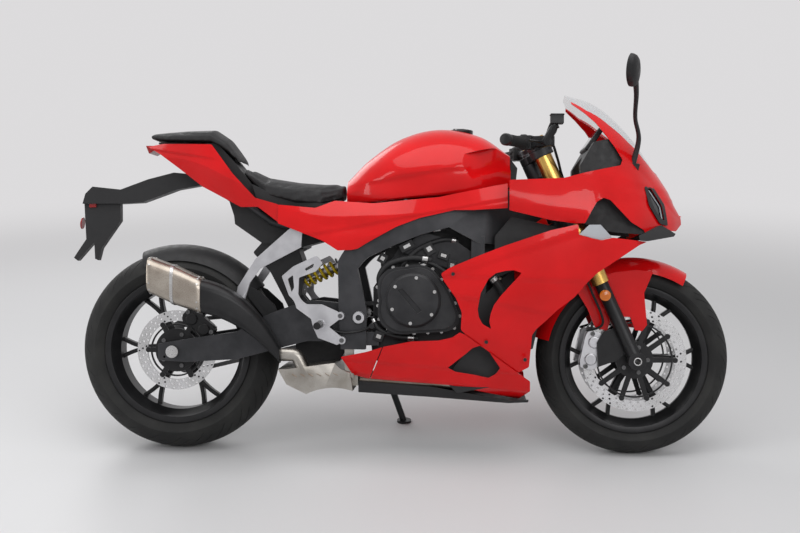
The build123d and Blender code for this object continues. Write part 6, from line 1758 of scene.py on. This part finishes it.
# Instrument display in front of the rider
dash = {"at": (1300, 0, 985), "look": (-0.82, 0, 0.57), "size": (150, 84)}
dashTurn = basis((0, 1, 0), dash["look"])
dashForm = bmesh.new()
block(dashForm, dash["at"], (dash["size"][0], dash["size"][1], 16), dashTurn)
makePiece("display_case", dashForm, "blackPlastic", "chassis", smooth=30, bevel=4, rounds=3)
dashGlass = bmesh.new()
block(dashGlass, Vector(dash["at"]) + Vector(dash["look"]).normalized() * 8.2, (134, 70, 1.4), dashTurn)
makePiece("display_glass", dashGlass, "lampClear", "chassis", smooth=30, bevel=0.5)

# Panel screws
panelSpots = [(86.4, 56.6, 25.9), (101.5, 62.6, 26.1), (124.2, 69.2, 25.3), (96.5, 36.3, 22.3), (108.2, 31, 20.4)]
panelScrews = [(onGrid(x, z, y * side), (0, side, 0.05)) for x, z, y in panelSpots for side in (-1, 1)]
screws("panel_screws", panelScrews, 5.5, 4.0, "satinBlack", "chassis")
print("small parts made")

# What fills the dark spaces behind the panels
liners = [
    # outline and places across
    ([(92, 46), (100, 54), (105, 58), (106, 46), (104, 30), (98, 22), (88, 20), (84, 24), (90, 32)], 138, 150),
    ([(99, 68), (104, 74), (117, 71), (121, 66.5), (113, 61.5), (99, 55)], 162, 170),
]
fills = {
    # slabs of outline, low y, high y and corner
    "airbox_case": [
        ([(64, 60), (69, 70), (80, 76.5), (99, 76.5), (104, 71), (104.5, 52), (98, 42), (80, 40), (66, 42)],
         -96, 96, 6),
        ([(96, 50), (104.5, 56), (104.5, 30), (99, 26), (94, 30)], -120, 120, 6)],
    "inner_mudguard": [
        ([(23.5, 62.5), (30, 70), (37, 66), (40, 58), (39, 49), (35.5, 44), (33, 49), (29, 56.5)], -58, 58, 6),
        ([(37, 46), (52, 46), (54, 34), (50, 26), (42, 25), (37.5, 30)], -70, 90, 6)],
    "fairing_liners": [(outline, *sorted((side * near, side * far)), 4) for outline, near, far in liners
                       for side in (-1, 1)],
}
for pieceName, slabs in fills.items():
    form = bmesh.new()
    for outline, low, high, corner in slabs:
        slab(form, outline, low, high, corner)
    makePiece(pieceName, form, "blackPlastic", "chassis", smooth=30, bevel=2.0)


# Collector louvres, and the strap that holds the can
boxSlots = bmesh.new()
for i in range(6):
    block(boxSlots, onGrid(38.6 + i * 2.5, 25.2 + i * 0.12, -18.6), (17, 4, 3), Matrix.Rotation(0.5, 3, "Y"))
makePiece("collector_louvres", boxSlots, "exhaustMetal", "chassis", smooth=30, bevel=0.8)
strapForm = bmesh.new()
joinRings(strapForm, [canRing(share, scale) for share, scale in
                      ((0.44, 0.98), (0.44, 1.025), (0.5, 1.025), (0.5, 0.98))], capped=False, closed=True)
makePiece("can_strap", strapForm, "steel", "chassis", smooth=30, bevel=0.5)

# Black lamp surrounds
surroundLine = [(144.2, 83.4), (147.2, 84.2), (151.4, 78.2), (152.2, 71.6), (149.2, 72.2), (145.6, 77.6)]
surround = trimmed(panelShell(cowlSections, 100, 22, lambda x, z: 0.9, 1.6), [
    (sideCutter(surroundLine, 6), "INTERSECT"),
    (sideCutter(lampLine, 5), "DIFFERENCE")])
makePiece("headlamp_surrounds", surround, "blackPlastic", "chassis", smooth=40)

# Brake pump with its reservoir stem
pumpMass = bmesh.new()
tubeAlong(pumpMass, [perchR - runR * 8, perchR + runR * 8 + aheadR * 26, cupFoot + Vector((-8, 4, -6)), cupFoot],
          [17, 15, 11, 13], 18)
block(pumpMass, perchR + aheadR * 16 + upwardR * 4, (56, 34, 30), basis(aheadR, upwardR))
makePiece("brake_pump", pumpMass, "satinBlack", "steering", smooth=40, bevel=1.2)
print("fills and last mouldings made")
